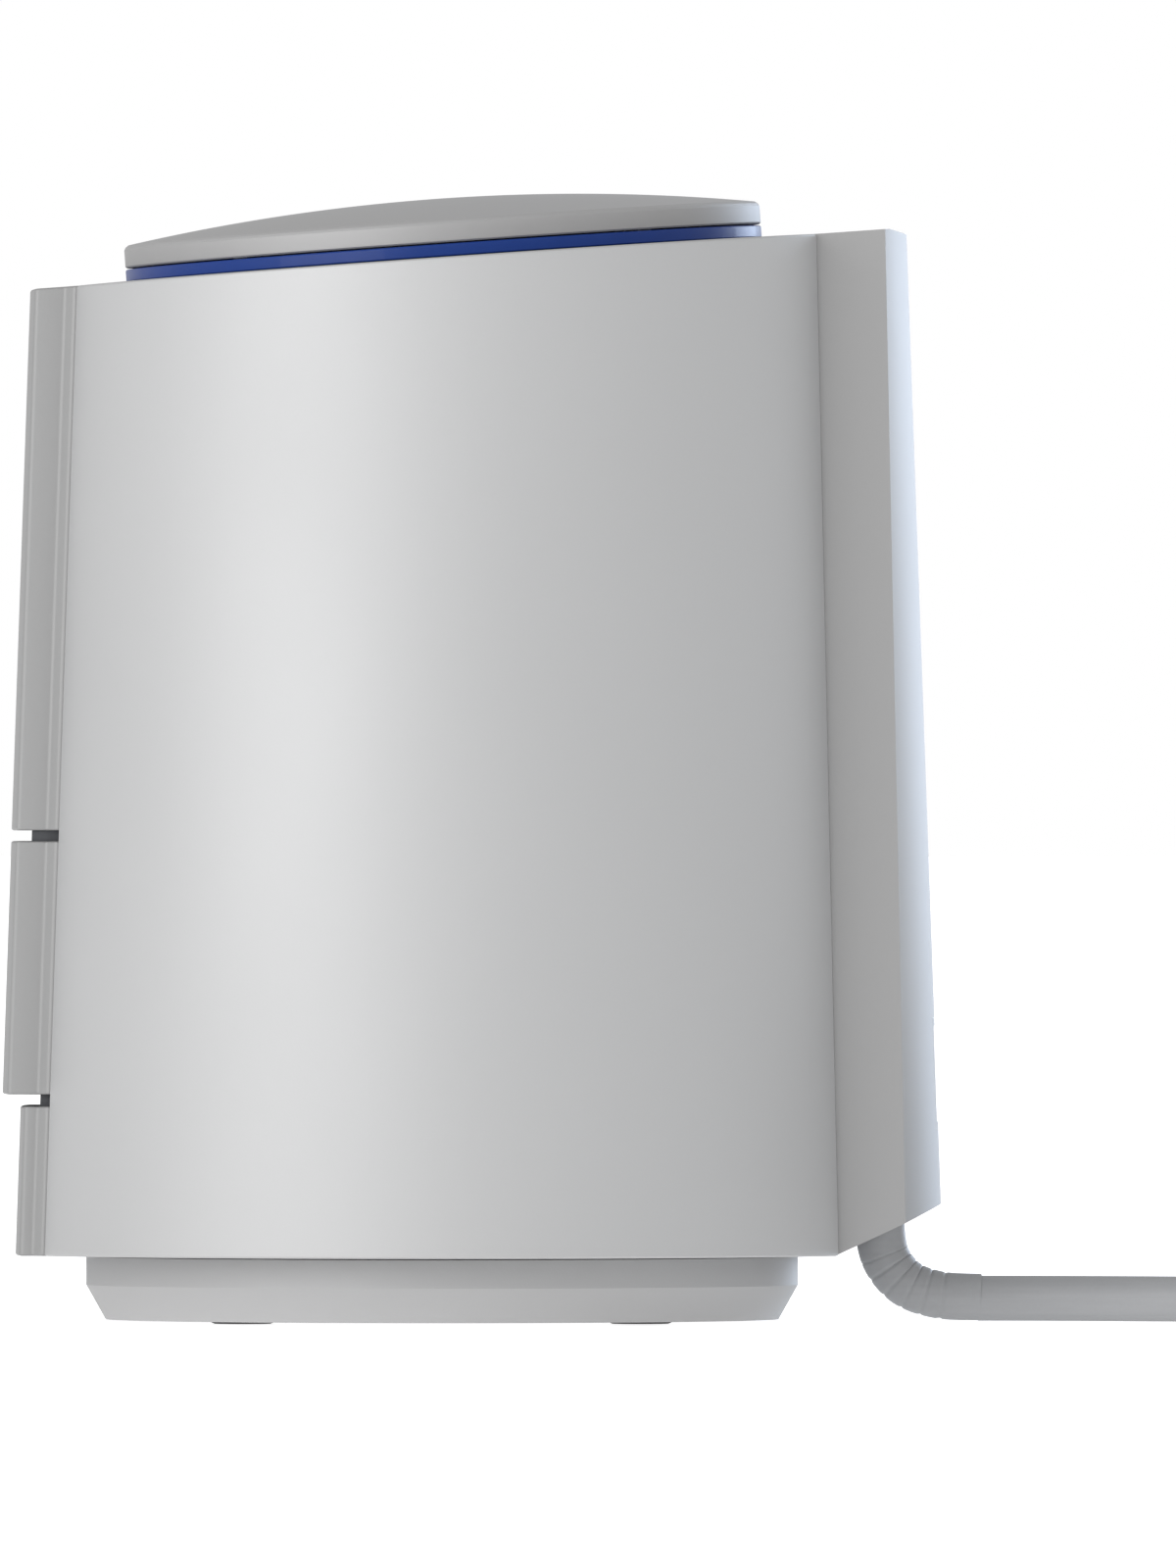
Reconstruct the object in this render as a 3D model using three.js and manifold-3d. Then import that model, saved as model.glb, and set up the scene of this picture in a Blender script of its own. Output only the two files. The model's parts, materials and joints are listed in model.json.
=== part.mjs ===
// A small table-top air purifier, in millimetres, +Z up, front towards -Y, mains cord at +Y.
// Room air enters through slots under the overhanging skirt, rises through a filter cassette that
// pulls out at the front, passes an axial fan and leaves through slots round the domed cap.
import * as THREE from 'three';
import { mergeVertices } from 'three/addons/utils/BufferGeometryUtils.js';
import Module from 'manifold-3d';

const wasm = await Module();
wasm.setup();

// ---- driving dimensions ----
const GAP = 0.3;                 // clearance between pieces that touch
const FOOT = 0.4;                // how far the rubber feet stand out under the base
const BASE_R = 66.1;             // base disc
const BASE_CHAMFER = [3.6, 6.4]; // inwards, upwards
const SKIRT_Z = 12.4;            // lower edge of the barrel
const DECK_Z = 196.8;            // top plane, measured on the barrel axis
const DECK_SLOPE = 0.0702;       // the top plane rises towards the rear
const BARREL_R = 78.5;           // barrel radius at its lower edge
const WALL = 2.2;                // shell wall
const SHRINK = 0.069;            // how much narrower the barrel is at the top
const LEAN = 1.05;               // how far the top leans towards the rear
const STRIP_X = 27.0;            // half width of the fascia and of the rear spine
const FRONT_ROOT = -73.6;        // where the fascia leaves the barrel
const FRONT_FACE = -82.65;       // middle of the fascia's face
const FRONT_CROWN = 1.1;         // how far the fascia's face bulges
const SILL_FACE = -79.2;         // the recessed lowest length of the fascia
const FASCIA_T = 3.8;            // thickness of the fascia's face
const REAR_ROOT = 73.3;          // where the spine leaves the barrel
const REAR_SIDE = 86.0;          // rear edge of the spine's flat sides
const REAR_CROWN = 7.0;          // how far the spine's back bulges
const SLOPE_START = 73.5;        // the spine's underside rises from here
const SLOPE_RISE = 0.487;
const NOTCH_LOW = [40.1, 42.3];  // gap between the sill and the drawer front
const NOTCH_HIGH = [89.2, 91.2]; // gap between the drawer front and the long panel
const CAP_R = 59.15;             // domed cap and light ring
const CAP_Y = 0.4;
const RING_TOP = 2.55;           // heights above the top plane
const RIM_TOP = 6.95;
const DOME_RISE = 4.75;
const FAN_R = 50;                // bore of the fan shroud
const CORD_R = 4.2;
const CORD_Z = CORD_R + 0.1;
const COIL_R = 50;               // coil radius at the middle of its turns
const COIL_X = -34.4;
const COIL_Y = 204;
const TILT = Math.atan(DECK_SLOPE);

// ---- solids ----
function toSolid(geometry) {
  const plain = geometry.clone();
  plain.deleteAttribute('normal');
  plain.deleteAttribute('uv');
  const merged = mergeVertices(plain, 1e-4);
  const at = merged.attributes.position.array;
  const index = merged.index.array;
  const kept = [];
  let volume = 0;
  const a = new THREE.Vector3();
  const b = new THREE.Vector3();
  const c = new THREE.Vector3();
  for (let i = 0; i < index.length; i += 3) {
    const [p, q, r] = [index[i], index[i + 1], index[i + 2]];
    if (p === q || q === r || r === p) continue;
    kept.push(p, q, r);
    a.fromArray(at, 3 * p);
    b.fromArray(at, 3 * q);
    c.fromArray(at, 3 * r);
    volume += a.dot(b.cross(c));
  }
  if (volume < 0) kept.reverse();
  return new wasm.Manifold(new wasm.Mesh({
    numProp: 3,
    vertProperties: new Float32Array(at),
    triVerts: new Uint32Array(kept),
  }));
}

function toGeometry(solid) {
  const mesh = solid.getMesh();
  const geometry = new THREE.BufferGeometry();
  geometry.setAttribute('position', new THREE.BufferAttribute(new Float32Array(mesh.vertProperties), 3));
  geometry.setIndex(new THREE.BufferAttribute(new Uint32Array(mesh.triVerts), 1));
  return geometry;
}

function cut(geometry, ...tools) {
  let solid = toSolid(geometry);
  for (const tool of tools) solid = solid.subtract(toSolid(tool));
  return toGeometry(solid);
}

function join(geometry, ...more) {
  let solid = toSolid(geometry);
  for (const other of more) solid = solid.add(toSolid(other));
  return toGeometry(solid);
}

function block(x0, x1, y0, y1, z0, z1) {
  return new THREE.BoxGeometry(x1 - x0, y1 - y0, z1 - z0)
    .translate((x0 + x1) / 2, (y0 + y1) / 2, (z0 + z1) / 2);
}

function rod(r, z0, z1, x = 0, y = 0, sides = 24) {
  return new THREE.CylinderGeometry(r, r, z1 - z0, sides)
    .rotateX(Math.PI / 2).translate(x, y, (z0 + z1) / 2);
}

function turned(profile, segments = 64) {
  const points = profile.map(([r, z]) => new THREE.Vector2(r, z));
  return new THREE.LatheGeometry(points, segments).rotateX(Math.PI / 2);
}

function ring(r0, r1, z0, z1, segments = 64) {
  return turned([[r0, z0], [r1, z0], [r1, z1], [r0, z1], [r0, z0]], segments);
}

function prism(shape, z0, z1, curveSegments = 16) {
  return new THREE.ExtrudeGeometry(shape, { depth: z1 - z0, bevelEnabled: false, curveSegments })
    .translate(0, 0, z0);
}

// The barrel narrows about its axis and leans back; the fascia and the spine keep nearly their depth.
function flare(geometry) {
  const at = geometry.attributes.position;
  for (let i = 0; i < at.count; i += 1) {
    const t = (at.getZ(i) - SKIRT_Z) / (DECK_Z - SKIRT_Z);
    const k = 1 - SHRINK * t;
    const y = at.getY(i);
    const inBarrel = Math.min(Math.max(y, FRONT_ROOT), REAR_ROOT);
    const infront = Math.min(y - FRONT_ROOT, 0) * (1 - 0.028 * t);
    const side = Math.min(Math.max(y - REAR_ROOT, 0), REAR_SIDE - REAR_ROOT) * (1 + 0.02 * t);
    const crown = Math.max(y - REAR_SIDE, 0) * (1 - 0.4 * t);
    at.setX(i, at.getX(i) * k);
    at.setY(i, inBarrel * k + LEAN * t + infront + side + crown);
  }
  return geometry;
}

// Places a geometry that was drawn on the top plane.
function onDeck(geometry) {
  return geometry.rotateX(TILT).translate(0, 0, DECK_Z);
}

const aboveDeck = (offset) => onDeck(block(-120, 120, -120, 120, offset, offset + 90));
const belowDeck = (offset) => onDeck(block(-120, 120, -120, 120, offset - 90, offset));

function underSlope(offset) {
  const angle = Math.atan(SLOPE_RISE);
  return block(-60, 60, -10, 60, -40, offset).rotateX(angle).translate(0, SLOPE_START, SKIRT_Z);
}

// An arc across the middle plane from (x, y) to (-x, y) that bulges by sag.
function crownArc(shape, x, y, sag) {
  const r = (x * x + sag * sag) / (2 * Math.abs(sag));
  const cy = y + sag - Math.sign(sag) * r;
  const start = Math.atan2(y - cy, x);
  const end = Math.atan2(y - cy, -x);
  shape.absarc(0, cy, r, start, end, sag < 0);
}

// ---- sections at the lower edge of the barrel ----
function shellSection() {
  const outer = BARREL_R;
  const inner = BARREL_R - WALL;
  const edge = STRIP_X + GAP;
  const a = Math.acos(edge / outer);
  const b = Math.acos(edge / inner);
  const shape = new THREE.Shape();
  shape.absarc(0, 0, outer, -a, a, false);
  shape.absarc(0, 0, inner, b, -b, true);
  return shape;
}

// A channel that is open to the barrel: face at the front, side walls with a flared root.
function fasciaSection(face, crown, thickness) {
  const corner = face + crown;
  const wall = STRIP_X - 0.8;
  const inside = STRIP_X - 2.4;
  const back = FRONT_ROOT + 1.0;
  const shape = new THREE.Shape();
  shape.moveTo(inside, back);
  shape.lineTo(inside, face + thickness);
  shape.lineTo(-inside, face + thickness);
  shape.lineTo(-inside, back);
  shape.lineTo(-STRIP_X, back);
  shape.lineTo(-STRIP_X, FRONT_ROOT - 0.3);
  shape.lineTo(-wall, FRONT_ROOT - 2.0);
  shape.lineTo(-wall, corner + 0.7);
  shape.lineTo(-wall + 0.7, corner);
  const x = wall - 0.7;
  const r = (x * x + crown * crown) / (2 * crown);
  const half = Math.asin(x / r);
  shape.absarc(0, face + r, r, -Math.PI / 2 - half, -Math.PI / 2 + half, false);
  shape.lineTo(wall, corner + 0.7);
  shape.lineTo(wall, FRONT_ROOT - 2.0);
  shape.lineTo(STRIP_X, FRONT_ROOT - 0.3);
  shape.lineTo(STRIP_X, back);
  return shape;
}

function spineSection(inset, from) {
  const shape = new THREE.Shape();
  const x = STRIP_X - inset;
  shape.moveTo(-x, from);
  shape.lineTo(x, from);
  shape.lineTo(x, REAR_SIDE - inset * 0.6);
  crownArc(shape, x, REAR_SIDE - inset * 0.6, REAR_CROWN - inset * 0.4);
  shape.lineTo(-x, from);
  return shape;
}

// The outline of a plate that fills the barrel between the shells.
function plateSection(front, rear, inset = WALL + 0.4) {
  const r = BARREL_R - inset;
  const x = STRIP_X - 2.8;
  const a = Math.acos((STRIP_X + GAP) / r);
  const y = Math.sin(a) * r;
  const shape = new THREE.Shape();
  shape.moveTo(-x, -Math.max(y, 0));
  if (front < -y) {
    shape.lineTo(-x, front);
    shape.lineTo(x, front);
  }
  shape.lineTo(x, -y);
  shape.absarc(0, 0, r, -a, a, false);
  if (rear > y) {
    shape.lineTo(x, y);
    shape.lineTo(x, rear);
    shape.lineTo(-x, rear);
    shape.lineTo(-x, y);
  }
  shape.absarc(0, 0, r, Math.PI - a, Math.PI + a, false);
  shape.lineTo(-x, -y);
  return shape;
}

function radialSlots(count, r0, r1, width, z0, z1) {
  const slots = [];
  for (let i = 0; i < count; i += 1) {
    slots.push(block(r0, r1, -width / 2, width / 2, z0, z1).rotateZ(((i + 0.5) / count) * 2 * Math.PI));
  }
  return slots;
}

// A flat tray of square holes.
function grate(x, y0, y1, z0, z1, across, along, bar) {
  const holes = [];
  const dx = (2 * x - bar) / across;
  const dy = (y1 - y0 - bar) / along;
  for (let i = 0; i < across; i += 1) {
    for (let j = 0; j < along; j += 1) {
      const hx = -x + bar + i * dx;
      const hy = y0 + bar + j * dy;
      holes.push(block(hx, hx + dx - bar, hy, hy + dy - bar, z0 - 1, z1 + 1));
    }
  }
  return cut(block(-x, x, y0, y1, z0, z1), ...holes);
}

// ---- looks ----
const look = (color, roughness, metalness = 0) =>
  new THREE.MeshStandardMaterial({ color, roughness, metalness });
const silver = look(0xc9cacc, 0.42, 0.15);
const silverDark = look(0xa9abae, 0.45, 0.15);
const charcoal = look(0x3a3d42, 0.6);
const blue = look(0x1a46a0, 0.25);
const rubber = look(0x2b2c2e, 0.85);
const white = look(0xe9e9e4, 0.7);
const carbon = look(0x1c1d1f, 0.9);
const steel = look(0xb4b7ba, 0.3, 1);
const copper = look(0xb5713c, 0.4, 1);
const board = look(0x1f5a3a, 0.5);
const cordGrey = look(0x8d8e90, 0.6);
const brass = look(0xc9a558, 0.35, 1);
const glow = look(0xdfe9ff, 0.3);

const body = new THREE.Group();
const cordSet = new THREE.Group();

function add(name, geometry, material, group = body) {
  const mesh = new THREE.Mesh(toGeometry(toSolid(geometry)), material);
  mesh.name = name;
  group.add(mesh);
  return mesh;
}

// ---- base and floor ----
const [chamferIn, chamferUp] = BASE_CHAMFER;
const SCREW_SPOTS = [90, 210, 330].map((deg) => (deg * Math.PI) / 180);
const FOOT_SPOTS = [45, 135, 225, 315].map((deg) => (deg * Math.PI) / 180);
const baseShell = turned([
  [0, FOOT], [BASE_R - chamferIn, FOOT], [BASE_R, FOOT + chamferUp], [BASE_R, SKIRT_Z - GAP],
  [BASE_R - 5, SKIRT_Z - GAP], [BASE_R - 6, 3.6], [0, 3.6],
], 60);
const baseHoles = [];
for (const a of FOOT_SPOTS) baseHoles.push(rod(6.3, -1, 1.9, 52 * Math.cos(a), 52 * Math.sin(a), 16));
for (const a of SCREW_SPOTS) {
  baseHoles.push(rod(3.6, -1, 2.0, 40 * Math.cos(a), 40 * Math.sin(a), 12));
  baseHoles.push(rod(1.8, -1, 5, 40 * Math.cos(a), 40 * Math.sin(a), 8));
}
add('base_disc', cut(baseShell, ...baseHoles), silverDark);
FOOT_SPOTS.forEach((a, i) => {
  const foot = turned([[0, 0], [5.2, 0], [6, 0.6], [6, 1.6], [0, 1.6]], 16);
  add(`rubber_foot_${i + 1}`, foot.translate(52 * Math.cos(a), 52 * Math.sin(a), 0), rubber);
});
SCREW_SPOTS.forEach((a, i) => {
  const head = turned([[0, 0.7], [2.6, 0.7], [3.0, 1.1], [3.0, 1.7], [1.3, 1.7], [1.3, 10], [0, 10]], 10);
  add(`base_screw_${i + 1}`, head.translate(40 * Math.cos(a), 40 * Math.sin(a), 0), steel);
});

let floorPlate = flare(prism(plateSection(SILL_FACE + 3.5, 0), SKIRT_Z, SKIRT_Z + 2.5));
const posts = SCREW_SPOTS.map((a) => rod(4, 4.0, SKIRT_Z + 1, 40 * Math.cos(a), 40 * Math.sin(a), 12));
const postBores = SCREW_SPOTS.map((a) =>
  rod(1.6, 3.0, SKIRT_Z + 1, 40 * Math.cos(a), 40 * Math.sin(a), 8));
floorPlate = cut(join(floorPlate, ...posts), ...postBores,
  ...radialSlots(36, 67.6, 73.6, 4.4, SKIRT_Z - 1, SKIRT_Z + 4));
add('floor_plate', floorPlate, charcoal);

// ---- barrel ----
const rightShell = cut(flare(prism(shellSection(), SKIRT_Z, 230)), aboveDeck(0));
add('right_side_shell', rightShell, silver);
add('left_side_shell', toGeometry(toSolid(rightShell).mirror([1, 0, 0])), silver);

// ---- fascia ----
const panelSection = fasciaSection(FRONT_FACE, FRONT_CROWN, FASCIA_T);
const upperPanel = cut(flare(prism(panelSection, NOTCH_HIGH[1], 230)), aboveDeck(0));
add('upper_front_panel', upperPanel, silverDark);
add('drawer_front', flare(prism(panelSection, NOTCH_LOW[1], NOTCH_HIGH[0])), silverDark);
add('lower_front_sill', flare(prism(fasciaSection(SILL_FACE, 0.9, 3.1), SKIRT_Z, NOTCH_LOW[0])), silverDark);

const frameFront = FRONT_FACE + FASCIA_T + GAP;
const frame = cut(
  flare(block(-24.2, 24.2, frameFront, -67.5, SKIRT_Z + 2.8, 230)),
  aboveDeck(-2.4),
  flare(block(-30, 30, -90, -75.3, 0, 43.4)),
  block(-22.5, 22.5, -95, -50, 43.4, 87.9),
  block(-17, 17, -95, -50, 99, 184),
);
add('front_frame', frame, charcoal);

// ---- rear spine: a channel closed below by the sloping plate that the cord comes through ----
const CORD_EXIT_Y = 81.4;
const SWITCH_Z = 46;
const spineOuter = cut(flare(prism(spineSection(0, REAR_ROOT - 0.5), SKIRT_Z - 4, 230, 9)), underSlope(0));
const spineInner = cut(flare(prism(spineSection(WALL, REAR_ROOT - 5), SKIRT_Z - 4, 240, 5)), underSlope(WALL));
const topBevel = onDeck(block(-60, 60, 0, 40, 0, 30).rotateX(-0.32).translate(0, 83.2, 0));
add('rear_cover', cut(spineOuter, spineInner, aboveDeck(0), topBevel,
  rod(5.1, 5, 30, 0, CORD_EXIT_Y, 24),
  block(-7.2, 7.2, 84, 99, SWITCH_Z - 10.4, SWITCH_Z + 10.4)), silverDark);

// ---- top deck with outlet slots, and a spigot that the cap pushes on to ----
let deck = flare(prism(plateSection(FRONT_FACE + FASCIA_T + 0.35, REAR_SIDE - 2), 170, 230));
deck = cut(deck, aboveDeck(0), belowDeck(-2), ...radialSlots(36, 61.6, 68.2, 3.4, -6, 6).map(onDeck));
add('top_deck', join(deck, onDeck(ring(30, 32, -1, 4, 36).translate(0, CAP_Y, 0))), silverDark);

const lightRing = turned([
  [56.2, 0.3], [CAP_R, 0.3], [CAP_R, RING_TOP], [56.2, RING_TOP], [56.2, 0.3],
], 60);
add('light_ring', onDeck(lightRing.translate(0, CAP_Y, 0)), blue);
add('led_board', onDeck(ring(40, 54, 0.3, 1.3, 36).translate(0, CAP_Y, 0)), board);
for (let i = 0; i < 4; i += 1) {
  const led = block(49.5, 53, -1.75, 1.75, 1.6, 3.0).rotateZ(((i + 0.5) * Math.PI) / 2);
  add(`led_${i + 1}`, onDeck(led.translate(0, CAP_Y, 0)), glow);
}

// ---- domed cap: rim, shallow dome and a collar that grips the spigot ----
function domeArc(r0, r1, z, rise, steps) {
  const big = (CAP_R * CAP_R + rise * rise) / (2 * rise);
  const points = [];
  for (let i = 0; i <= steps; i += 1) {
    const r = r0 + ((r1 - r0) * i) / steps;
    points.push([r, z + rise - big + Math.sqrt(big * big - r * r)]);
  }
  return points;
}
const capShell = turned([
  [57, RING_TOP + GAP], [CAP_R, RING_TOP + GAP], [CAP_R, RIM_TOP - 0.3],
  ...domeArc(CAP_R - 0.4, 0, RIM_TOP, DOME_RISE, 5),
  ...domeArc(0, 57, RIM_TOP - 2, DOME_RISE, 3),
  [57, RING_TOP + GAP],
], 60);
const capCollar = ring(32.4, 34.2, 0.8, RIM_TOP + 2.2, 36);
add('dome_cap', onDeck(join(capShell, capCollar).translate(0, CAP_Y, 0)), silverDark);

// ---- filter bay and the drawer that runs in it ----
const bay = cut(
  block(-23.4, 23.4, -64.4, 42, 41.6, 92.1),
  block(-22.2, 22.2, -70, 40.8, 43.5, 95),
  block(-20, 20, -62, 38, 40, 44),
);
add('filter_bay', bay, charcoal);
const tray = cut(
  block(-21.6, 21.6, -75.7, 38.5, 43.9, 87.0),
  block(-20.2, 20.2, -74.3, 37.1, 46.3, 90),
  block(-18.6, 18.6, -61, 35.5, 40, 48),
);
add('drawer_tray', tray, charcoal);
add('prefilter', grate(19.8, -61.5, 36.7, 46.6, 48.6, 3, 8, 2.2), white);
const pleats = new THREE.Shape();
const PLEATS = 16;
const pitch = 97.6 / PLEATS;
pleats.moveTo(0, 50);
for (let i = 0; i < PLEATS; i += 1) {
  pleats.lineTo((i + 0.5) * pitch, 70);
  pleats.lineTo((i + 1) * pitch, 50);
}
for (let i = PLEATS; i > 0; i -= 1) {
  pleats.lineTo(i * pitch, 54);
  pleats.lineTo((i - 0.5) * pitch, 74);
}
pleats.lineTo(0, 54);
const hepa = new THREE.ExtrudeGeometry(pleats, { depth: 39.6, bevelEnabled: false });
hepa.rotateX(Math.PI / 2).rotateZ(Math.PI / 2).translate(-19.8, -61.2, 0);
add('hepa_pack', hepa, white);
add('carbon_pad', grate(19.8, -61.5, 36.7, 75, 83, 2, 5, 3), carbon);

// ---- fan ----
const fanDeck = cut(
  flare(prism(plateSection(0, 0), 92.4, 94.4)),
  rod(40, 90, 97, 0, 0, 40),
  block(-24.6, 24.6, -90, -64.4, 90, 97),
);
add('fan_deck', fanDeck, charcoal);
const shroud = turned([
  [FAN_R, 94.7], [56, 94.7], [56, 96.7], [FAN_R + 1.8, 96.7], [FAN_R + 1.8, 138], [56, 138],
  [56, 140], [FAN_R, 140], [FAN_R, 94.7],
], 44);
add('fan_shroud', shroud, charcoal);
const arms = [0, 1, 2, 3].map((i) =>
  block(12, 54, -3, 3, 140.3, 143.3).rotateZ(((i + 0.5) * Math.PI) / 2));
const hubPlate = turned([
  [3.4, 112], [5.0, 112], [5.0, 140.3], [18, 140.3], [18, 143.3], [3.4, 143.3], [3.4, 112],
], 20);
const bracket = join(ring(52.5, 56, 140.3, 143.3, 44), hubPlate, ...arms);
add('motor_bracket', bracket, charcoal);
const teeth = [0, 1, 2, 3, 4, 5].map((i) =>
  join(block(6.5, 11.8, -1.7, 1.7, 116.5, 128), block(11.4, 13.4, -4.2, 4.2, 115.5, 129))
    .rotateZ((i * Math.PI) / 3));
add('stator', join(ring(5.3, 7.5, 115.5, 129, 18), ...teeth), copper);
add('bearing_lower', ring(1.9, 3.1, 112.4, 116.4, 14), steel);
add('bearing_upper', ring(1.9, 3.1, 138.5, 142.5, 14), steel);
add('motor_shaft', rod(1.6, 109, 142, 0, 0, 16), steel);
add('rotor_cup', turned([
  [1.9, 108.4], [16.2, 108.4], [16.2, 131], [14.2, 131], [14.2, 110.4], [1.9, 110.4], [1.9, 108.4],
], 28), steel);

const HUB_R = 20;
function blade() {
  const geometry = new THREE.BoxGeometry(1.6, 30, 20, 1, 4, 1);
  const at = geometry.attributes.position;
  for (let i = 0; i < at.count; i += 1) {
    const r = at.getY(i) + 15 + HUB_R - 1.5;
    const pitchAngle = THREE.MathUtils.degToRad(40 + (18 * (r - HUB_R)) / 28);
    const x = at.getX(i);
    const z = at.getZ(i);
    at.setXYZ(i, x * Math.cos(pitchAngle) + z * Math.sin(pitchAngle), r,
      z * Math.cos(pitchAngle) - x * Math.sin(pitchAngle));
  }
  return geometry.translate(0, 0, 118);
}
const hub = turned([
  [0, 105], [17, 105], [HUB_R, 108], [HUB_R, 131], [16.8, 131], [16.8, 107.4], [0, 107.4],
], 28);
const blades = [0, 1, 2, 3, 4, 5, 6].map((i) => blade().rotateZ((i * 2 * Math.PI) / 7));
add('impeller', join(hub, ...blades), charcoal);

// ---- electrics ----
add('control_board', block(-21, 21, 71.6, 73.2, 62, 150), board);
add('power_module', block(-13, 13, 73.5, 80.5, 112, 142), charcoal);
add('capacitor', rod(5, 84, 103, -12, 78.6, 16), look(0x24406e, 0.4));
add('terminal_block', block(-12, 12, 46, 58, SKIRT_Z + 2.8, SKIRT_Z + 14), white);
add('cord_clamp', cut(block(-10, 10, 76, 86, 23.5, 29.5), rod(4.8, 15, 35, 0, CORD_EXIT_Y, 20)), charcoal);
add('ionizer_module', onDeck(block(-12, 12, 42, 57, -16, -2.3)), charcoal);
const needle = turned([[0, 0], [0.9, 0], [0.9, 2.5], [0.15, 6], [0, 6]], 12).rotateX(-Math.PI / 2);
add('ionizer_needle', onDeck(needle.translate(0, 57.3, -9)), steel);

// ---- mains rocker, sunk in the back ----
const SWITCH_Y = 87.4;
const housing = cut(
  block(-6.8, 6.8, 76.5, 91.0, SWITCH_Z - 10, SWITCH_Z + 10),
  block(-5.4, 5.4, 80.5, 99, SWITCH_Z - 8.8, SWITCH_Z + 8.8),
);
add('switch_housing', housing, charcoal);
const rockerShape = new THREE.Shape();
rockerShape.moveTo(-8, -2.0);
rockerShape.lineTo(8, -2.0);
rockerShape.lineTo(8, 3.4);
rockerShape.lineTo(0, 2.2);
rockerShape.lineTo(-8, 3.4);
const rocker = new THREE.ExtrudeGeometry(rockerShape, { depth: 10, bevelEnabled: false });
rocker.translate(0, 0, -5).rotateY(Math.PI / 2);
rocker.rotateX((7 * Math.PI) / 180);
add('rocker', rocker.translate(0, SWITCH_Y, SWITCH_Z), rubber);

// ---- cord: boot, run on the floor, coil, tail and plug ----
// A round boot whose centreline lies in the middle plane; its radius shrinks along it.
function boot(points, r0, r1, steps, sides) {
  const curve = new THREE.CatmullRomCurve3(points.map(([y, z]) => new THREE.Vector3(0, y, z)));
  const at = [];
  const index = [];
  for (let i = 0; i <= steps; i += 1) {
    const p = curve.getPointAt(i / steps);
    const t = curve.getTangentAt(i / steps);
    const r = r0 + ((r1 - r0) * i) / steps;
    for (let j = 0; j < sides; j += 1) {
      const a = (j / sides) * 2 * Math.PI;
      at.push(r * Math.cos(a), p.y - t.z * r * Math.sin(a), p.z + t.y * r * Math.sin(a));
    }
  }
  for (let i = 0; i < steps; i += 1) {
    for (let j = 0; j < sides; j += 1) {
      const a = i * sides + j;
      const b = i * sides + ((j + 1) % sides);
      index.push(a, b, a + sides, b, b + sides, a + sides);
    }
  }
  for (let j = 1; j < sides - 1; j += 1) {
    index.push(0, j + 1, j);
    index.push(steps * sides, steps * sides + j, steps * sides + j + 1);
  }
  const geometry = new THREE.BufferGeometry();
  geometry.setAttribute('position', new THREE.BufferAttribute(new Float32Array(at), 3));
  geometry.setIndex(index);
  return geometry;
}
const BOOT_END = 100;
add('strain_relief', boot([
  [81.3, 22.5], [81.35, 16.8], [82.6, 11.4], [86.4, 7.0], [92.4, 4.9], [BOOT_END, 4.5],
], 4.7, 4.35, 12, 16), cordGrey, cordSet);

function cordTube(points, steps) {
  const curve = new THREE.CatmullRomCurve3(points.map(([x, y, z]) => new THREE.Vector3(x, y, z)));
  const section = new THREE.Shape();
  for (let i = 0; i < 10; i += 1) {
    const a = ((i + 0.5) / 10) * 2 * Math.PI;
    const p = [CORD_R * Math.cos(a), CORD_R * Math.sin(a)];
    if (i === 0) section.moveTo(...p);
    else section.lineTo(...p);
  }
  return new THREE.ExtrudeGeometry(section, { steps, bevelEnabled: false, extrudePath: curve });
}
// The run bends gently sideways so that it meets the outer turn of the coil along its tangent.
const RUN = [];
const RUN_END = COIL_Y - 34;
for (let i = 0; i <= 14; i += 1) {
  const s = i / 14;
  const ease = s * s * (3 - 2 * s);
  RUN.push([24 * ease, BOOT_END + 0.4 + s * (RUN_END - BOOT_END - 0.4), CORD_Z]);
}
add('cord_run', cordTube(RUN, 8), cordGrey, cordSet);

const SECTION = { r: 1.5 * 2 * CORD_R, z: 4 * CORD_R };
const coil = turned([
  [COIL_R - SECTION.r, 3], [COIL_R - SECTION.r + 3, 0.1], [COIL_R + SECTION.r - 3, 0.1],
  [COIL_R + SECTION.r, 3], [COIL_R + SECTION.r, SECTION.z - 3], [COIL_R + SECTION.r - 3, SECTION.z + 0.1],
  [COIL_R - SECTION.r + 3, SECTION.z + 0.1], [COIL_R - SECTION.r, SECTION.z - 3],
  [COIL_R - SECTION.r, 3],
], 40);
add('cord_coil', coil.translate(COIL_X, COIL_Y, 0), cordGrey, cordSet);

const tie = cut(
  block(COIL_R - SECTION.r - 2.0, COIL_R + SECTION.r + 1.8, -5, 5, 0.1, SECTION.z + 1.6),
  block(COIL_R - SECTION.r - 0.8, COIL_R + SECTION.r + 0.6, -6, 6, -1, SECTION.z + 0.45),
).rotateZ(-2.3);
add('cord_tie', tie.translate(COIL_X, COIL_Y, 0), rubber, cordSet);

// From the outer turn the lead climbs on to the coil, crosses it to the inner turn and ends in its plug,
// which lies flat on the turns.
const ON_TOP = SECTION.z + 0.1 + GAP + CORD_R;
const PLUG_HALF = 7.5;
const PLUG_Z = SECTION.z + 0.1 + GAP + PLUG_HALF;
const PLUG_Y = COIL_Y + COIL_R - 2 * CORD_R;
const step = (value, start, end) => THREE.MathUtils.smoothstep(value, start, end);
const TAIL = [];
for (let angle = -40; angle <= 90; angle += 10) {
  const r = COIL_R + 2 * CORD_R - 4 * CORD_R * step(angle, -40, 80);
  const a = (angle * Math.PI) / 180;
  const z = ON_TOP + (PLUG_Z - ON_TOP) * step(angle, 25, 90);
  TAIL.push([COIL_X + r * Math.cos(a), COIL_Y + r * Math.sin(a), z]);
}
add('cord_tail', cordTube(TAIL, 10), cordGrey, cordSet);

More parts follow.
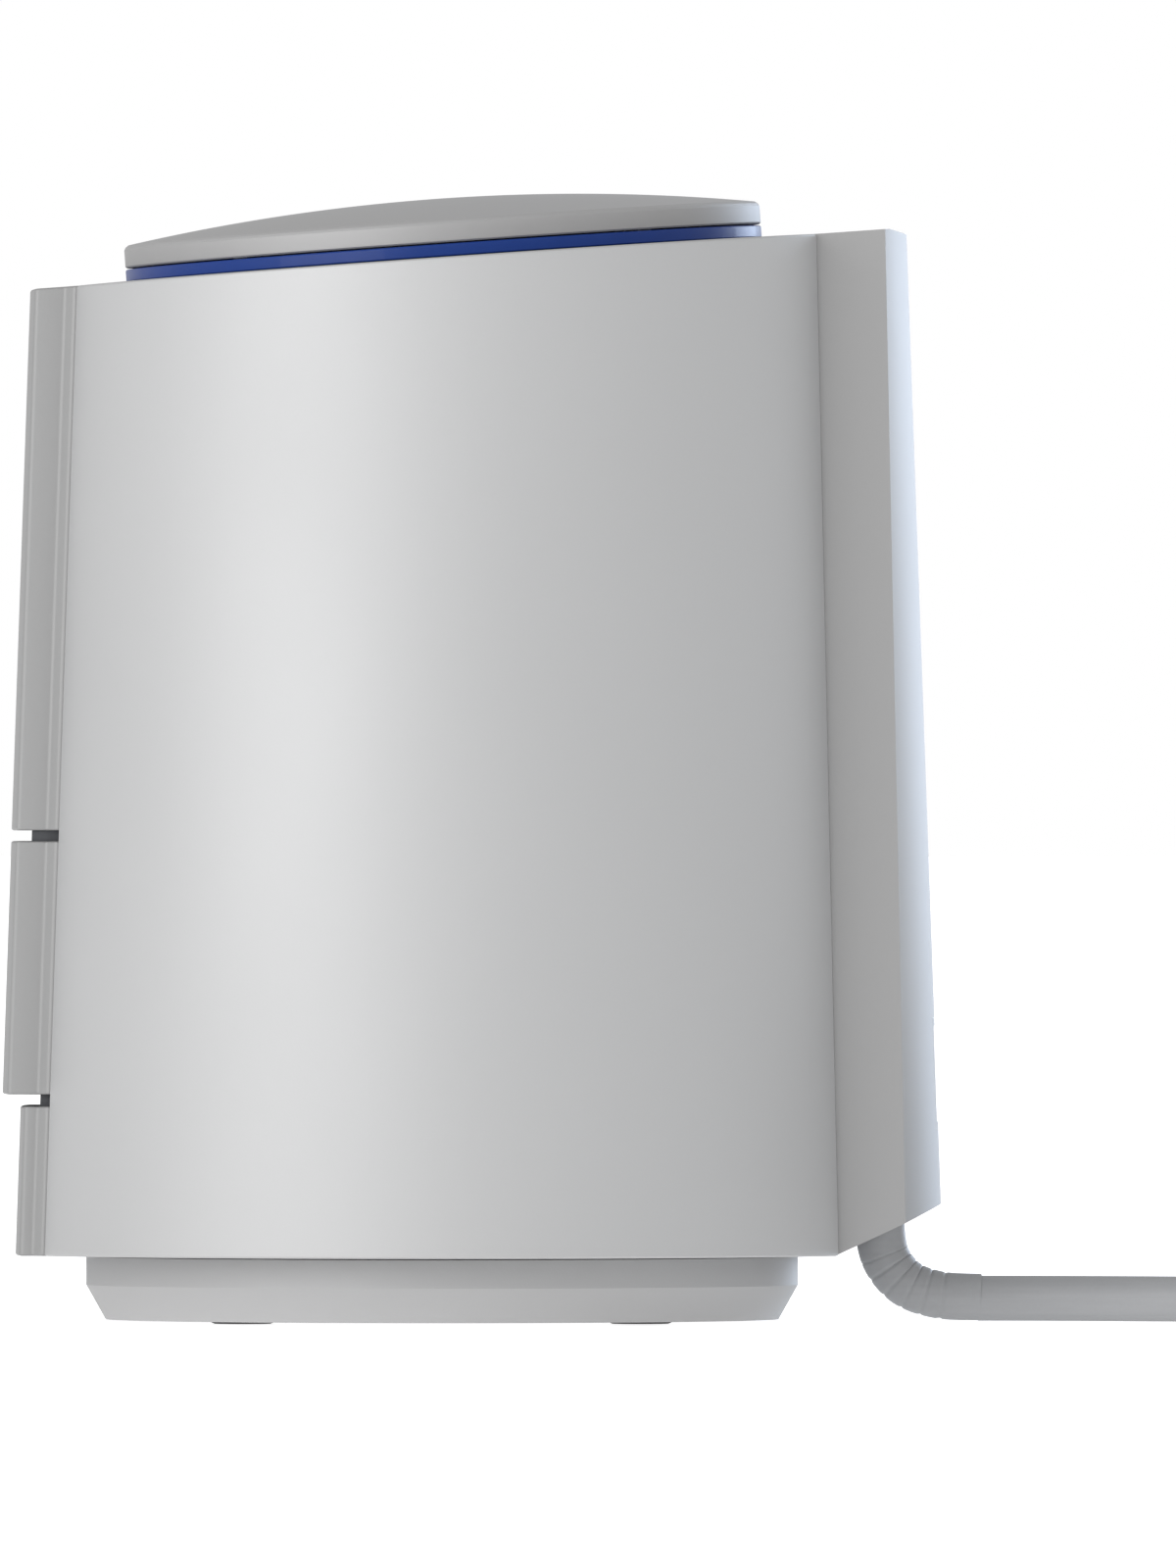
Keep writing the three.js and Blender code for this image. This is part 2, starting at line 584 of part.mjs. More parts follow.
const PLUG_X = COIL_X - 0.8;
const plugShape = new THREE.Shape();
plugShape.moveTo(0, -4.6);
plugShape.lineTo(0, 4.6);
plugShape.lineTo(-20, 6.4);
plugShape.bezierCurveTo(-26, 7, -25, 12.5, -31, 12.5);
plugShape.lineTo(-48, 12.5);
plugShape.lineTo(-50, 10.5);
plugShape.lineTo(-50, -10.5);
plugShape.lineTo(-48, -12.5);
plugShape.lineTo(-31, -12.5);
plugShape.bezierCurveTo(-25, -12.5, -26, -7, -20, -6.4);
const plug = new THREE.ExtrudeGeometry(plugShape, {
  depth: 2 * PLUG_HALF - 4.8,
  bevelThickness: 2.4,
  bevelSize: 2,
  bevelOffset: -2,
  bevelSegments: 1,
  curveSegments: 5,
});
add('plug_body', plug.translate(PLUG_X, PLUG_Y, PLUG_Z - PLUG_HALF + 2.4), rubber, cordSet);
for (const [name, y] of [['plug_pin_left', -6.35], ['plug_pin_right', 6.35]]) {
  const pin = block(-67, -50.3, y - 0.75, y + 0.75, -3.1, 3.1);
  add(name, pin.translate(PLUG_X, PLUG_Y, PLUG_Z), brass, cordSet);
}

// ---- the origin is the middle of the body's box, on the surface that it stands on ----
const purifier = new THREE.Group();
const box = new THREE.Box3().setFromObject(body);
const middleY = (box.min.y + box.max.y) / 2;
body.position.set(0, -middleY, 0);
cordSet.position.set(0, -middleY, 0);
purifier.add(body, cordSet);

export default purifier;
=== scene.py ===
# %% [markdown]
# # A small table-top air purifier, built up step by step
# The body is a tapered barrel on a low round base. It was moulded as two half shells, clamped between a
# raised fascia at the front and a raised spine at the back, under a top plate that leans 4 degrees.
# The measured model comes first. It is the skeleton that every finer piece is laid over.

# %% Load the measured model
import json
import math
import bmesh
import bpy
from mathutils import Matrix, Vector

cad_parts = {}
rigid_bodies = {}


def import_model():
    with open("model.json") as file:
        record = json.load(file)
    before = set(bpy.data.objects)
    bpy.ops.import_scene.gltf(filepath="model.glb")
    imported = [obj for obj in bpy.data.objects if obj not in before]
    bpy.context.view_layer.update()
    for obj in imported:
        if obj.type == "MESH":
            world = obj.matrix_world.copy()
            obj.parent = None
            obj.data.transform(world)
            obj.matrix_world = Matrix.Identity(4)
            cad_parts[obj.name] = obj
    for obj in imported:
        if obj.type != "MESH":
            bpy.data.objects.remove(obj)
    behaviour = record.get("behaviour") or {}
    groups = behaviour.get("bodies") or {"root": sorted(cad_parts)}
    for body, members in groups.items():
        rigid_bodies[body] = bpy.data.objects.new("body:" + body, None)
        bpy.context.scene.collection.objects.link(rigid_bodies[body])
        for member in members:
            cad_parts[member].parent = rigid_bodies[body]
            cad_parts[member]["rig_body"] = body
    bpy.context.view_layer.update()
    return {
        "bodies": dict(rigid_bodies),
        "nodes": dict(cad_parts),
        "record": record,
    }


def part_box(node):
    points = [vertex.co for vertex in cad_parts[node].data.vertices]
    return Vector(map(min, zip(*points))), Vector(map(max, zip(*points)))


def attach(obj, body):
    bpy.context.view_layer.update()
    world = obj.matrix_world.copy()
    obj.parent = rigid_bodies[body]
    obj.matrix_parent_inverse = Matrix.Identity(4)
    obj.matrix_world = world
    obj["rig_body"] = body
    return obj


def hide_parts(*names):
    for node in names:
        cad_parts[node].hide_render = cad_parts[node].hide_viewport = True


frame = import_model()
nodes = frame["nodes"]
members = {body: [n.name for n in nodes.values() if n.get("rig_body") == body] for body in frame["bodies"]}
print("pieces per body:", {body: len(names) for body, names in members.items()})

# %% [markdown]
# ## Dimensions
# The numbers below are millimetres, and MM turns them into Blender's metres. The shape follows from a few
# of them: the barrel's radius at its lower edge, how much it narrows and leans on the way up, and the slope
# of the top. `flare` turns a point of the section at the lower edge into the same point at any height, so
# each wall keeps its draft.

# %% Shared dimensions
MM = 0.001
low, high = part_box("motor_shaft")
AXIS_Y = (low.y + high.y) / 2
SKIRT_Z, DECK_Z, DECK_SLOPE = 12.4, 196.8, 0.0702
BARREL_R, WALL, SHRINK, LEAN = 78.5, 2.2, 0.069, 1.05
STRIP_X, FRONT_ROOT, REAR_ROOT, REAR_SIDE, REAR_CROWN = 27.0, -73.6, 73.3, 86.0, 7.0
TILT = math.atan(DECK_SLOPE)
CORD_R = 4.2
FRONT_TAPER, SIDE_GROWTH, CROWN_FADE = 0.028, 0.02, 0.4


def flare(x, y, z):
    """A point of the section, in millimetres from the barrel's axis, carried up to height z."""
    t = (z - SKIRT_Z) / (DECK_Z - SKIRT_Z)
    k = 1 - SHRINK * t
    barrel = min(max(y, FRONT_ROOT), REAR_ROOT)
    front = min(y - FRONT_ROOT, 0) * (1 - FRONT_TAPER * t)
    side = min(max(y - REAR_ROOT, 0), REAR_SIDE - REAR_ROOT) * (1 + SIDE_GROWTH * t)
    crown = max(y - REAR_SIDE, 0) * (1 - CROWN_FADE * t)
    return x * k, barrel * k + LEAN * t + front + side + crown


def place(x, y, z):
    """Millimetres from the barrel's axis to metres in the model's frame."""
    return Vector((x * MM, y * MM + AXIS_Y, z * MM))


DECK = Matrix.Translation(place(0, 0, DECK_Z)) @ Matrix.Rotation(TILT, 4, "X")
print("axis at y =", round(AXIS_Y, 5), "top leans", round(math.degrees(TILT), 2), "degrees")

# %% [markdown]
# ## The camera
# A catalogue side view is taken from far away with a long lens, so that edges which are level on the
# object stay level in the picture. The camera stands square to the barrel, at about half its height.

# %% Camera
DISTANCE, LENS, SENSOR = 8.09, 1000, 36
REARWARD, EYE_HEIGHT = 0.0271, 0.0998
camera_data = bpy.data.cameras.new("side_camera")
camera_data.lens = LENS
camera_data.sensor_width = SENSOR
camera_data.clip_end = 60
camera = bpy.data.objects.new("side_camera", camera_data)
camera.location = (DISTANCE, AXIS_Y + REARWARD, EYE_HEIGHT)
camera.rotation_euler = (math.pi / 2, 0, math.pi / 2)
bpy.context.scene.collection.objects.link(camera)
bpy.context.scene.camera = camera
print("camera sees", round(SENSOR / LENS * DISTANCE / MM), "mm of height")

# %% [markdown]
# ## The mains lead
# The lead is one round cable. It comes level out of its boot, bends once to each side on the floor and
# meets the coil along a tangent. The coil is wound as a hand would wind it: three turns from the outside
# in, then two back out on top of them. The free end climbs over the turns and the plug lies on them. Where
# the cable steps in, out or up is given as the degrees it has been wound through.

# %% Route of the lead
COIL_X, COIL_Y = -34.4, 204.0
COIL_R, CABLE = 58.4, 2 * CORD_R
FLOOR_Z = CORD_R + 0.1
UPPER_Z = FLOOR_Z + CABLE
TOP_Z, PLUG_Z = 21.4, 24.7
LEAD_IN_X, LEAD_IN_Y = 24.0, (170, 182, 193)
START_Y = 99.5
COLUMN_IN = COIL_R - 2 * CABLE
STEPS_IN, STEPS_OUT = ((255, 345), (615, 705)), ((1155, 1245), (1515, 1605))
ON_TO_LOWER, ON_TO_UPPER = (885, 975), (1690, 1760)
END_INWARDS, END_UPWARDS = (1760, 1880), (1825, 1890)
WOUND, WOUND_STEP = 1890, 6


def ease(value, start, end):
    """Zero before start, one after end, and a soft step between them."""
    s = min(max((value - start) / (end - start), 0), 1)
    return s * s * (3 - 2 * s)


def coil_point(angle):
    """The cable's centre after it has been wound through an angle in degrees."""
    inwards = sum(ease(angle, *step) for step in STEPS_IN) + 2 * ease(angle, *END_INWARDS)
    outwards = sum(ease(angle, *step) for step in STEPS_OUT)
    r = COIL_R + CABLE * (outwards - inwards)
    z = FLOOR_Z + CABLE * ease(angle, *ON_TO_LOWER)
    z += (TOP_Z - UPPER_Z) * ease(angle, *ON_TO_UPPER) + (PLUG_Z - TOP_Z) * ease(angle, *END_UPWARDS)
    a = math.radians(angle)
    return COIL_X + r * math.cos(a), COIL_Y + r * math.sin(a), z


BEND_STEPS = 14
drawn = []
for i in range(BEND_STEPS + 1):
    s = i / BEND_STEPS
    drawn.append((LEAD_IN_X * ease(s, 0, 1), START_Y + s * (LEAD_IN_Y[0] - START_Y), FLOOR_Z))
for y in LEAD_IN_Y[1:]:
    drawn.append((LEAD_IN_X, y, FLOOR_Z))
for angle in range(0, WOUND + 1, WOUND_STEP):
    drawn.append(coil_point(angle))
route = [place(*p) for p in drawn]

# %% [markdown]
# ## One skin over many rings
# Lead, boot, plug, panels and blades are all made in the same way: rings of points one after the other,
# with a skin of four-sided faces between them and a face at each end. So that step is written once.

# %% Skin and new pieces
def skin(bm, rings):
    """Joins rings of vertices one to the next and closes both ends."""
    for a, b in zip(rings, rings[1:]):
        for j in range(len(a)):
            k = (j + 1) % len(a)
            bm.faces.new((a[j], a[k], b[k], b[j]))
    bm.faces.new(list(reversed(rings[0])))
    bm.faces.new(rings[-1])


def new_piece(name, bm):
    """Makes an object of a bmesh, with all its faces looking outwards."""
    bmesh.ops.recalc_face_normals(bm, faces=bm.faces)
    mesh = bpy.data.meshes.new(name)
    bm.to_mesh(mesh)
    bm.free()
    piece = bpy.data.objects.new(name, mesh)
    bpy.context.scene.collection.objects.link(piece)
    return piece


print("skin and new_piece are ready")

# %% Lead as one tube
def tube(name, points, radius, sides):
    """A round tube along the points. Each ring is carried over from the last, so it never twists."""
    bm = bmesh.new()
    side = Vector((0, 0, 1))
    rings = []
    for i, p in enumerate(points):
        along = (points[min(i + 1, len(points) - 1)] - points[max(i - 1, 0)]).normalized()
        side = (side - along * side.dot(along)).normalized()
        across = along.cross(side)
        turn = [2 * math.pi * j / sides for j in range(sides)]
        rings.append([bm.verts.new(p + (side * math.cos(a) + across * math.sin(a)) * radius) for a in turn])
    skin(bm, rings)
    piece = new_piece(name, bm)
    piece.data.shade_smooth()
    piece.data.set_sharp_from_angle(angle=math.radians(50))
    return piece


lead = tube("mains_lead", route, CORD_R * MM, 20)
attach(lead, "housing")
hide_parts("cord_run", "cord_coil", "cord_tail")
print("lead faces:", len(lead.data.polygons))

# %% [markdown]
# ## Tools for making pieces
# Almost every outer piece is one of two kinds: a drawn section that is lofted from the skirt to the
# leaning top, or a profile that is turned about an axis. Most lofted pieces and the turned base get small
# rounded edges, because no moulded edge is perfectly sharp, and the rounding is what catches the light.

# %% Rounded edges
SHARP = 32


def round_edges(piece, width, angle=SHARP, segments=3):
    """Rounds the sharp edges of a finished mesh; the width is in millimetres."""
    rounding = piece.modifiers.new("rounding", "BEVEL")
    rounding.width = width * MM
    rounding.segments = segments
    rounding.limit_method = "ANGLE"
    rounding.angle_limit = math.radians(angle)
    rounding.harden_normals = True
    rounding.use_clamp_overlap = True


def finish_mesh(name, bm, body, bevel=0.0, angle=SHARP, segments=3):
    """A piece on its body, with its edges rounded or kept crisp where they turn by over `angle`."""
    bmesh.ops.remove_doubles(bm, verts=bm.verts, dist=1e-7)
    piece = new_piece(name, bm)
    piece.data.shade_smooth()
    if bevel:
        round_edges(piece, bevel, angle, segments)
    else:
        piece.data.set_sharp_from_angle(angle=math.radians(angle))
    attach(piece, body)
    return piece


print("edges that turn by over", SHARP, "degrees count as sharp")

# %% Lofted walls
def loft(name, outline, bottom, top, body, bevel=0.4, levels=2):
    """Lofts a closed section outline through the flare; bottom and top give the height at a point."""
    bm = bmesh.new()
    rings = []
    for level in range(levels):
        ring = []
        for x, y in outline:
            z0, z1 = bottom(x, y), top(x, y)
            z = z0 + (z1 - z0) * level / (levels - 1)
            ring.append(bm.verts.new(place(*flare(x, y, z), z)))
        rings.append(ring)
    skin(bm, rings)
    return finish_mesh(name, bm, body, bevel)


def level(z):
    """A flat height, the same above every section point."""
    return lambda x, y: z


def deck_height(offset=0.0):
    """The height of the leaning top above a section point, found by stepping since the walls taper."""
    def height(x, y):
        z = DECK_Z
        for _ in range(6):
            z = DECK_Z + offset + flare(x, y, z)[1] * DECK_SLOPE
        return z
    return height


top = deck_height()
print("top at the front:", round(top(0, FRONT_ROOT), 1), "at the back:", round(top(0, REAR_ROOT), 1))

# %% Turned shapes
def turned(name, profile, segments, body, matrix, closed=True, angle=SHARP):
    """Turns a profile of (radius, height) pairs in millimetres about the matrix's Z axis."""
    bm = bmesh.new()
    rings = []
    for r, z in profile:
        if r < 1e-6:
            rings.append([bm.verts.new(matrix @ Vector((0, 0, z * MM)))])
            continue
        ring = []
        for i in range(segments):
            a = 2 * math.pi * i / segments
            ring.append(bm.verts.new(matrix @ Vector((r * MM * math.cos(a), r * MM * math.sin(a), z * MM))))
        rings.append(ring)
    pairs = list(zip(rings, rings[1:]))
    if closed:
        pairs.append((rings[-1], rings[0]))
    for a, b in pairs:
        for i in range(segments):
            j = (i + 1) % segments
            corners = [a[i % len(a)], a[j % len(a)], b[j % len(b)], b[i % len(b)]]
            unique = list(dict.fromkeys(corners))
            if len(unique) > 2:
                bm.faces.new(unique)
    return finish_mesh(name, bm, body, angle=angle)


print("turned is ready")

# %% Arcs and outlines
def arc(cx, cy, r, start, end, steps):
    """Points of an arc, angles in radians."""
    return [(cx + r * math.cos(start + (end - start) * i / steps),
             cy + r * math.sin(start + (end - start) * i / steps)) for i in range(steps + 1)]


def circle(x, y, r, steps):
    """Points of a whole circle, without the first one twice."""
    return arc(x, y, r, 0, 2 * math.pi * (steps - 1) / steps, steps - 1)


def rounded_window(half_x, half_y, r):
    """A rectangle with round corners; the halves reach to the centres of its corners."""
    corners = ((half_x, half_y), (-half_x, half_y), (-half_x, -half_y), (half_x, -half_y))
    return [point for i, (cx, cy) in enumerate(corners)
            for point in arc(cx, cy, r, i * math.pi / 2, (i + 1) * math.pi / 2, 4)]


print("points in a round of 16:", len(circle(0, 0, 1, 16)))

# %% [markdown]
# ## Cutting
# Holes, slots and chamfers are booleans with plain prisms, applied at once, so that the rounded edges which
# are put on afterwards run round the holes too.

# %% Cutting helpers
def cut_with(piece, cutters):
    """Cuts shapes out of a piece for good and throws the cutters away."""
    for i, cutter in enumerate(cutters):
        hole = piece.modifiers.new(f"hole{i}", "BOOLEAN")
        hole.object = cutter
        hole.operation = "DIFFERENCE"
        hole.solver = "EXACT"
    bpy.context.view_layer.update()
    shaped = bpy.data.meshes.new_from_object(piece.evaluated_get(bpy.context.evaluated_depsgraph_get()))
    piece.modifiers.clear()
    old = piece.data
    piece.data = shaped
    bpy.data.meshes.remove(old)
    for cutter in cutters:
        bpy.data.objects.remove(cutter)


BASE = Matrix.Translation(place(0, 0, 0))


def cutter_prisms(outlines, z0, z1, matrix=BASE):
    """Plain prisms used only to cut with; outlines are in millimetres about the matrix's origin."""
    bm = bmesh.new()
    for outline in outlines:
        skin(bm, [[bm.verts.new(matrix @ Vector((x * MM, y * MM, z * MM))) for x, y in outline]
                  for z in (z0, z1)])
    return new_piece("cutter", bm)


print("cutting helpers ready, base at", [round(x, 4) for x in BASE.translation])

# %% [markdown]
# ## The barrel
# Each half shell is an arc of the barrel that ends a hair short of the fascia and of the spine. That
# hair is the dark seam that runs down both sides.

# %% Half shells
SEAM = STRIP_X + 0.3


def shell_outline(side):
    """Outer arc and inner arc of one half shell, mirrored for the left side."""
    a = math.acos(SEAM / BARREL_R)
    b = math.acos(SEAM / (BARREL_R - WALL))
    points = arc(0, 0, BARREL_R, -a, a, 96) + arc(0, 0, BARREL_R - WALL, b, -b, 96)
    return [(side * x, y) for x, y in points]


shells = []
for side, name in ((1, "right"), (-1, "left")):
    shell = loft(f"{name}_shell", shell_outline(side), level(SKIRT_Z), deck_height(), "housing", 0.45)
    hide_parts(f"{name}_side_shell")
    shells.append(shell)
print("shell faces:", [len(s.data.polygons) for s in shells])

# %% [markdown]
# ## The fascia
# The fascia is a shallow channel that clips on in three lengths. Its face bulges by a millimetre, its
# side walls flare outwards at the root, and the gap between two lengths shows the dark frame behind.

# %% Fascia channel
PANEL_FACE, PANEL_CROWN, PANEL_T = -82.65, 1.1, 3.8
SILL_FACE, SILL_CROWN, SILL_T = -79.2, 0.9, 3.1
NOTCH_LOW, NOTCH_HIGH = (40.1, 42.3), (89.2, 91.2)
CORNER_R = 0.9


def fascia_outline(face, crown, thickness):
    """The channel's section: a crowned face, walls that flare at the root, and a hollow inside."""
    corner, wall, inside, back = face + crown, STRIP_X - 1.5, STRIP_X - 2.5, FRONT_ROOT + 1.0
    half_x = wall - CORNER_R
    r = (half_x ** 2 + crown ** 2) / (2 * crown)
    half = math.asin(half_x / r)
    front = arc(0, face + r, r, -math.pi / 2 - half, -math.pi / 2 + half, 24)
    right = arc(half_x, corner + CORNER_R, CORNER_R, -math.pi / 2 + 0.2, 0, 4)
    right += [(wall, FRONT_ROOT - 2.1), (STRIP_X, FRONT_ROOT - 0.4), (STRIP_X, back)]
    left = [(-x, y) for x, y in reversed(right)]
    inner = [(inside, back), (inside, face + thickness), (-inside, face + thickness), (-inside, back)]
    return left + front + right + inner


panel_outline = fascia_outline(PANEL_FACE, PANEL_CROWN, PANEL_T)
sill_outline = fascia_outline(SILL_FACE, SILL_CROWN, SILL_T)
upper_panel = loft("upper_panel", panel_outline, level(NOTCH_HIGH[1]), deck_height(), "housing")
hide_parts("upper_front_panel")
drawer_panel = loft("drawer_panel", panel_outline, level(NOTCH_LOW[1]), level(NOTCH_HIGH[0]), "drawer")
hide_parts("drawer_front")
sill = loft("sill_panel", sill_outline, level(SKIRT_Z), level(NOTCH_LOW[0]), "housing")
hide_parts("lower_front_sill")
print("fascia pieces:", upper_panel.name, drawer_panel.name, sill.name)

# %% [markdown]
# ## The spine
# The back is one moulding: two flat sides, a crowned face, and an underside cut away on a slope where
# the lead comes out. The slope leaves room for the lead's boot. The top corner is chamfered, and a lid
# inside closes the hollow there.

# %% Section of the spine
SPINE_ROOT, INNER_X, INNER_CROWN = 72.8, STRIP_X - WALL, REAR_CROWN - 0.9
SLOPE_START, SLOPE_RISE = 73.5, 0.487


def crowned(x, root, y, sag, steps):
    """A section with straight sides from the root to y and a back that stands out by sag."""
    r = (x * x + sag * sag) / (2 * sag)
    cy = y + sag - r
    start = math.atan2(y - cy, x)
    return [(x, root)] + arc(0, cy, r, start, math.pi - start, steps) + [(-x, root)]


def slope(x, y):
    """The height of the cut-away underside."""
    return SKIRT_Z + max(y - SLOPE_START, 0) * SLOPE_RISE


outer = crowned(STRIP_X, SPINE_ROOT, REAR_SIDE, REAR_CROWN, 40)
inner = [(-x, y) for x, y in crowned(INNER_X, SPINE_ROOT, REAR_SIDE - 1.3, INNER_CROWN, 24)]
print("spine section:", len(outer) + len(inner), "points")

# %% Spine
LEAD_HOLE_Y, LEAD_HOLE_R, UNDERSIDE_T = 81.4, 5.1, 2.4
WINDOW_Y, WINDOW_Z = 84, 46
CHAMFER_Y, CHAMFER_LEAN = 83.2, 0.32
LID_X, LID_ROOT, LID_DEPTH = 24.6, 84.15, 7
spine = loft("spine", outer + inner, slope, deck_height(), "housing", 0.0, levels=24)
plate = crowned(INNER_X + 0.3, SPINE_ROOT, REAR_SIDE - 1.1, INNER_CROWN, 24)
slope_plate = loft("spine_underside", plate, lambda x, y: slope(x, y) + 0.05,
                   lambda x, y: slope(x, y) + UNDERSIDE_T, "housing", 0.0)
cut_with(slope_plate, [cutter_prisms([circle(0, LEAD_HOLE_Y, LEAD_HOLE_R, 40)], 5, 30)])
window = Matrix.Translation(place(0, WINDOW_Y, WINDOW_Z)) @ Matrix.Rotation(-math.pi / 2, 4, "X")
top_wedge = Matrix.Translation(DECK @ Vector((0, CHAMFER_Y * MM, 0)))
top_wedge @= Matrix.Rotation(TILT - CHAMFER_LEAN, 4, "X")
wedge = [(-60, 0), (60, 0), (60, 40), (-60, 40)]
cut_with(spine, [
    cutter_prisms([rounded_window(6.4, 9.6, 0.8)], 0, 15, window),
    cutter_prisms([wedge], 0, 30, top_wedge),
])
lid_outline = crowned(LID_X, LID_ROOT, REAR_SIDE - 1.2, INNER_CROWN, 24)
spine_lid = loft("spine_lid", lid_outline, deck_height(-LID_DEPTH), deck_height(), "housing", 0.0)
cut_with(spine_lid, [cutter_prisms([wedge], -0.02, 30, top_wedge)])
for piece in (spine, slope_plate):
    round_edges(piece, 0.4)
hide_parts("rear_cover")
print("spine faces:", len(spine.data.polygons))

# %% [markdown]
# ## Lips behind the seams
# A hair of clearance runs down each side of the fascia and of the spine. On a real moulding a lip lies
# behind it, so that no light shines through the body. Four thin strips inside the shells do that.

# %% Seam lips
LIP_X, LIP_Y = (25.6, 29.4), (70.5, 71.3)
lips = []
for side in (1, -1):
    for end, name in ((1, "rear"), (-1, "front")):
        (x0, x1), (y_in, y_out) = [side * x for x in LIP_X], [end * y for y in LIP_Y]
        strip = [(x0, y_out), (x1, y_out), (x1, y_in), (x0, y_in)]
        label = f"seam_lip_{name}_{'right' if side > 0 else 'left'}"
        lips.append(loft(label, strip, level(SKIRT_Z + 2.8), deck_height(-2.4), "housing", 0.15))
print("lips:", [lip.name for lip in lips])

# %% [markdown]
# ## Bezel of the mains switch
# The rocker sits in a well, and a bezel brings the opening up to the crowned back, so that the back's
# outline stays whole when it is seen from the side.

# %% Bezel
CROWN_R = (STRIP_X ** 2 + REAR_CROWN ** 2) / (2 * REAR_CROWN)
BEZEL_X, BEZEL_LOW, BEZEL_HIGH, BEZEL_BACK = 7.1, 35.7, 56.3, 91.3
crown_y = REAR_SIDE + REAR_CROWN - CROWN_R + math.sqrt(CROWN_R ** 2 - BEZEL_X ** 2)
bezel_outline = crowned(BEZEL_X, BEZEL_BACK, crown_y, REAR_SIDE + REAR_CROWN - crown_y, 12)
bezel = loft("switch_bezel", bezel_outline, level(BEZEL_LOW), level(BEZEL_HIGH), "housing", 0.0)
cut_with(bezel, [cutter_prisms([rounded_window(4.4, 8.2, 0.7)], 0, 15, window)])
round_edges(bezel, 0.25)
print("bezel faces:", len(bezel.data.polygons))

# %% [markdown]
# ## Base, light ring and cap
# These are turned shapes. The base has a step back of twelve millimetres under the skirt, so that air
# can reach the slots, and a chamfer that makes the body seem to float. Cap and ring share one slanted axis.

# %% Base
FOOT_CIRCLE, SCREW_CIRCLE = 52, 40
base = turned("base_ring", [
    (0, 0.4), (62.5, 0.4), (66.1, 6.8), (66.1, 12.1), (61.1, 12.1), (60.1, 3.6), (0, 3.6),
], 160, "housing", BASE, closed=False)
FOOT_SPOTS = [(FOOT_CIRCLE * math.cos(a), FOOT_CIRCLE * math.sin(a))
              for a in map(math.radians, (45, 135, 225, 315))]
SCREW_SPOTS = [(SCREW_CIRCLE * math.cos(a), SCREW_CIRCLE * math.sin(a))
               for a in map(math.radians, (90, 210, 330))]
cut_with(base, [
    cutter_prisms([circle(x, y, 6.3, 32) for x, y in FOOT_SPOTS], -1, 1.9),
    cutter_prisms([circle(x, y, 3.6, 24) for x, y in SCREW_SPOTS], -1, 2.0),
    cutter_prisms([circle(x, y, 1.8, 16) for x, y in SCREW_SPOTS], -1, 5),
])
round_edges(base, 0.35, 28)
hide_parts("base_disc")
print("base faces:", len(base.data.polygons))

# %% Cap and ring
CAP = DECK @ Matrix.Translation((0, 0.4 * MM, 0))
CAP_R, RIM_TOP, DOME_RISE = 59.15, 6.95, 4.75
EDGE_R, DOME_EDGE, INSIDE_R, CAP_T = 58.35, 57.6, 57, 2.0
DOME_R = (CAP_R ** 2 + DOME_RISE ** 2) / (2 * DOME_RISE)


def dome(r, drop=0.0):
    """The height of the dome at radius r, lowered by drop for its inside."""
    return RIM_TOP - drop + DOME_RISE - DOME_R + math.sqrt(DOME_R ** 2 - r * r)


cap_profile = [(INSIDE_R, 2.85), (58.85, 2.85), (CAP_R, 3.15), (CAP_R, RIM_TOP - 0.75),
               (58.9, RIM_TOP - 0.28), (EDGE_R, dome(EDGE_R))]
cap_profile += [(r, dome(r)) for r in (DOME_EDGE - DOME_EDGE * i / 22 for i in range(23))]
cap_profile += [(r, dome(r, CAP_T)) for r in (INSIDE_R * i / 12 for i in range(13))]
cap = turned("domed_cap", cap_profile, 160, "cap", CAP, angle=24)
collar = turned("cap_collar", [(32.4, 0.8), (34.2, 0.8), (34.2, 9.0), (32.4, 9.0)], 96, "cap", CAP)
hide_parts("dome_cap")
ring = turned("lens_ring", [
    (56.2, 0.3), (58.95, 0.3), (CAP_R, 0.5), (CAP_R, 2.35), (58.95, 2.55), (56.2, 2.55),
], 160, "housing", CAP)
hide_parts("light_ring")
print("cap rim radius", CAP_R, "dome radius", round(DOME_R, 1))

# %% [markdown]
# ## Top plate
# Round the cap, the top plate is a grille: thirty-six slots like the spokes of a wheel, with round ends,
# because a moulding tool has no sharp corners. One cutter holds all slots, so one boolean makes them.

# %% Top plate
SLOTS, SLOT_IN, SLOT_OUT, SLOT_WIDTH = 36, 61.6, 68.2, 3.4


def turn_flat(points, angle):
    """Turns flat points about the barrel's axis."""
    c, k = math.cos(angle), math.sin(angle)
    return [(x * c - y * k, x * k + y * c) for x, y in points]


def plate_outline(front, rear, inset):
    """The round of the barrel, with a tongue at the front and one at the back."""
    r, x = BARREL_R - inset, STRIP_X - 2.8
    a = math.acos((STRIP_X + 0.3) / r)
    y = math.sin(a) * r
    right = [(x, front), (x, -y)] + arc(0, 0, r, -a, a, 64) + [(x, y), (x, rear)]
    return right + [(-px, py) for px, py in reversed(right)]


def spoke_slot(angle, r0, r1, width):
    """A slot with round ends that lies along a spoke."""
    w = width / 2
    flat = arc(r1 - w, 0, w, -math.pi / 2, math.pi / 2, 8) + arc(r0 + w, 0, w, math.pi / 2, math.pi * 1.5, 8)
    return turn_flat(flat, angle)


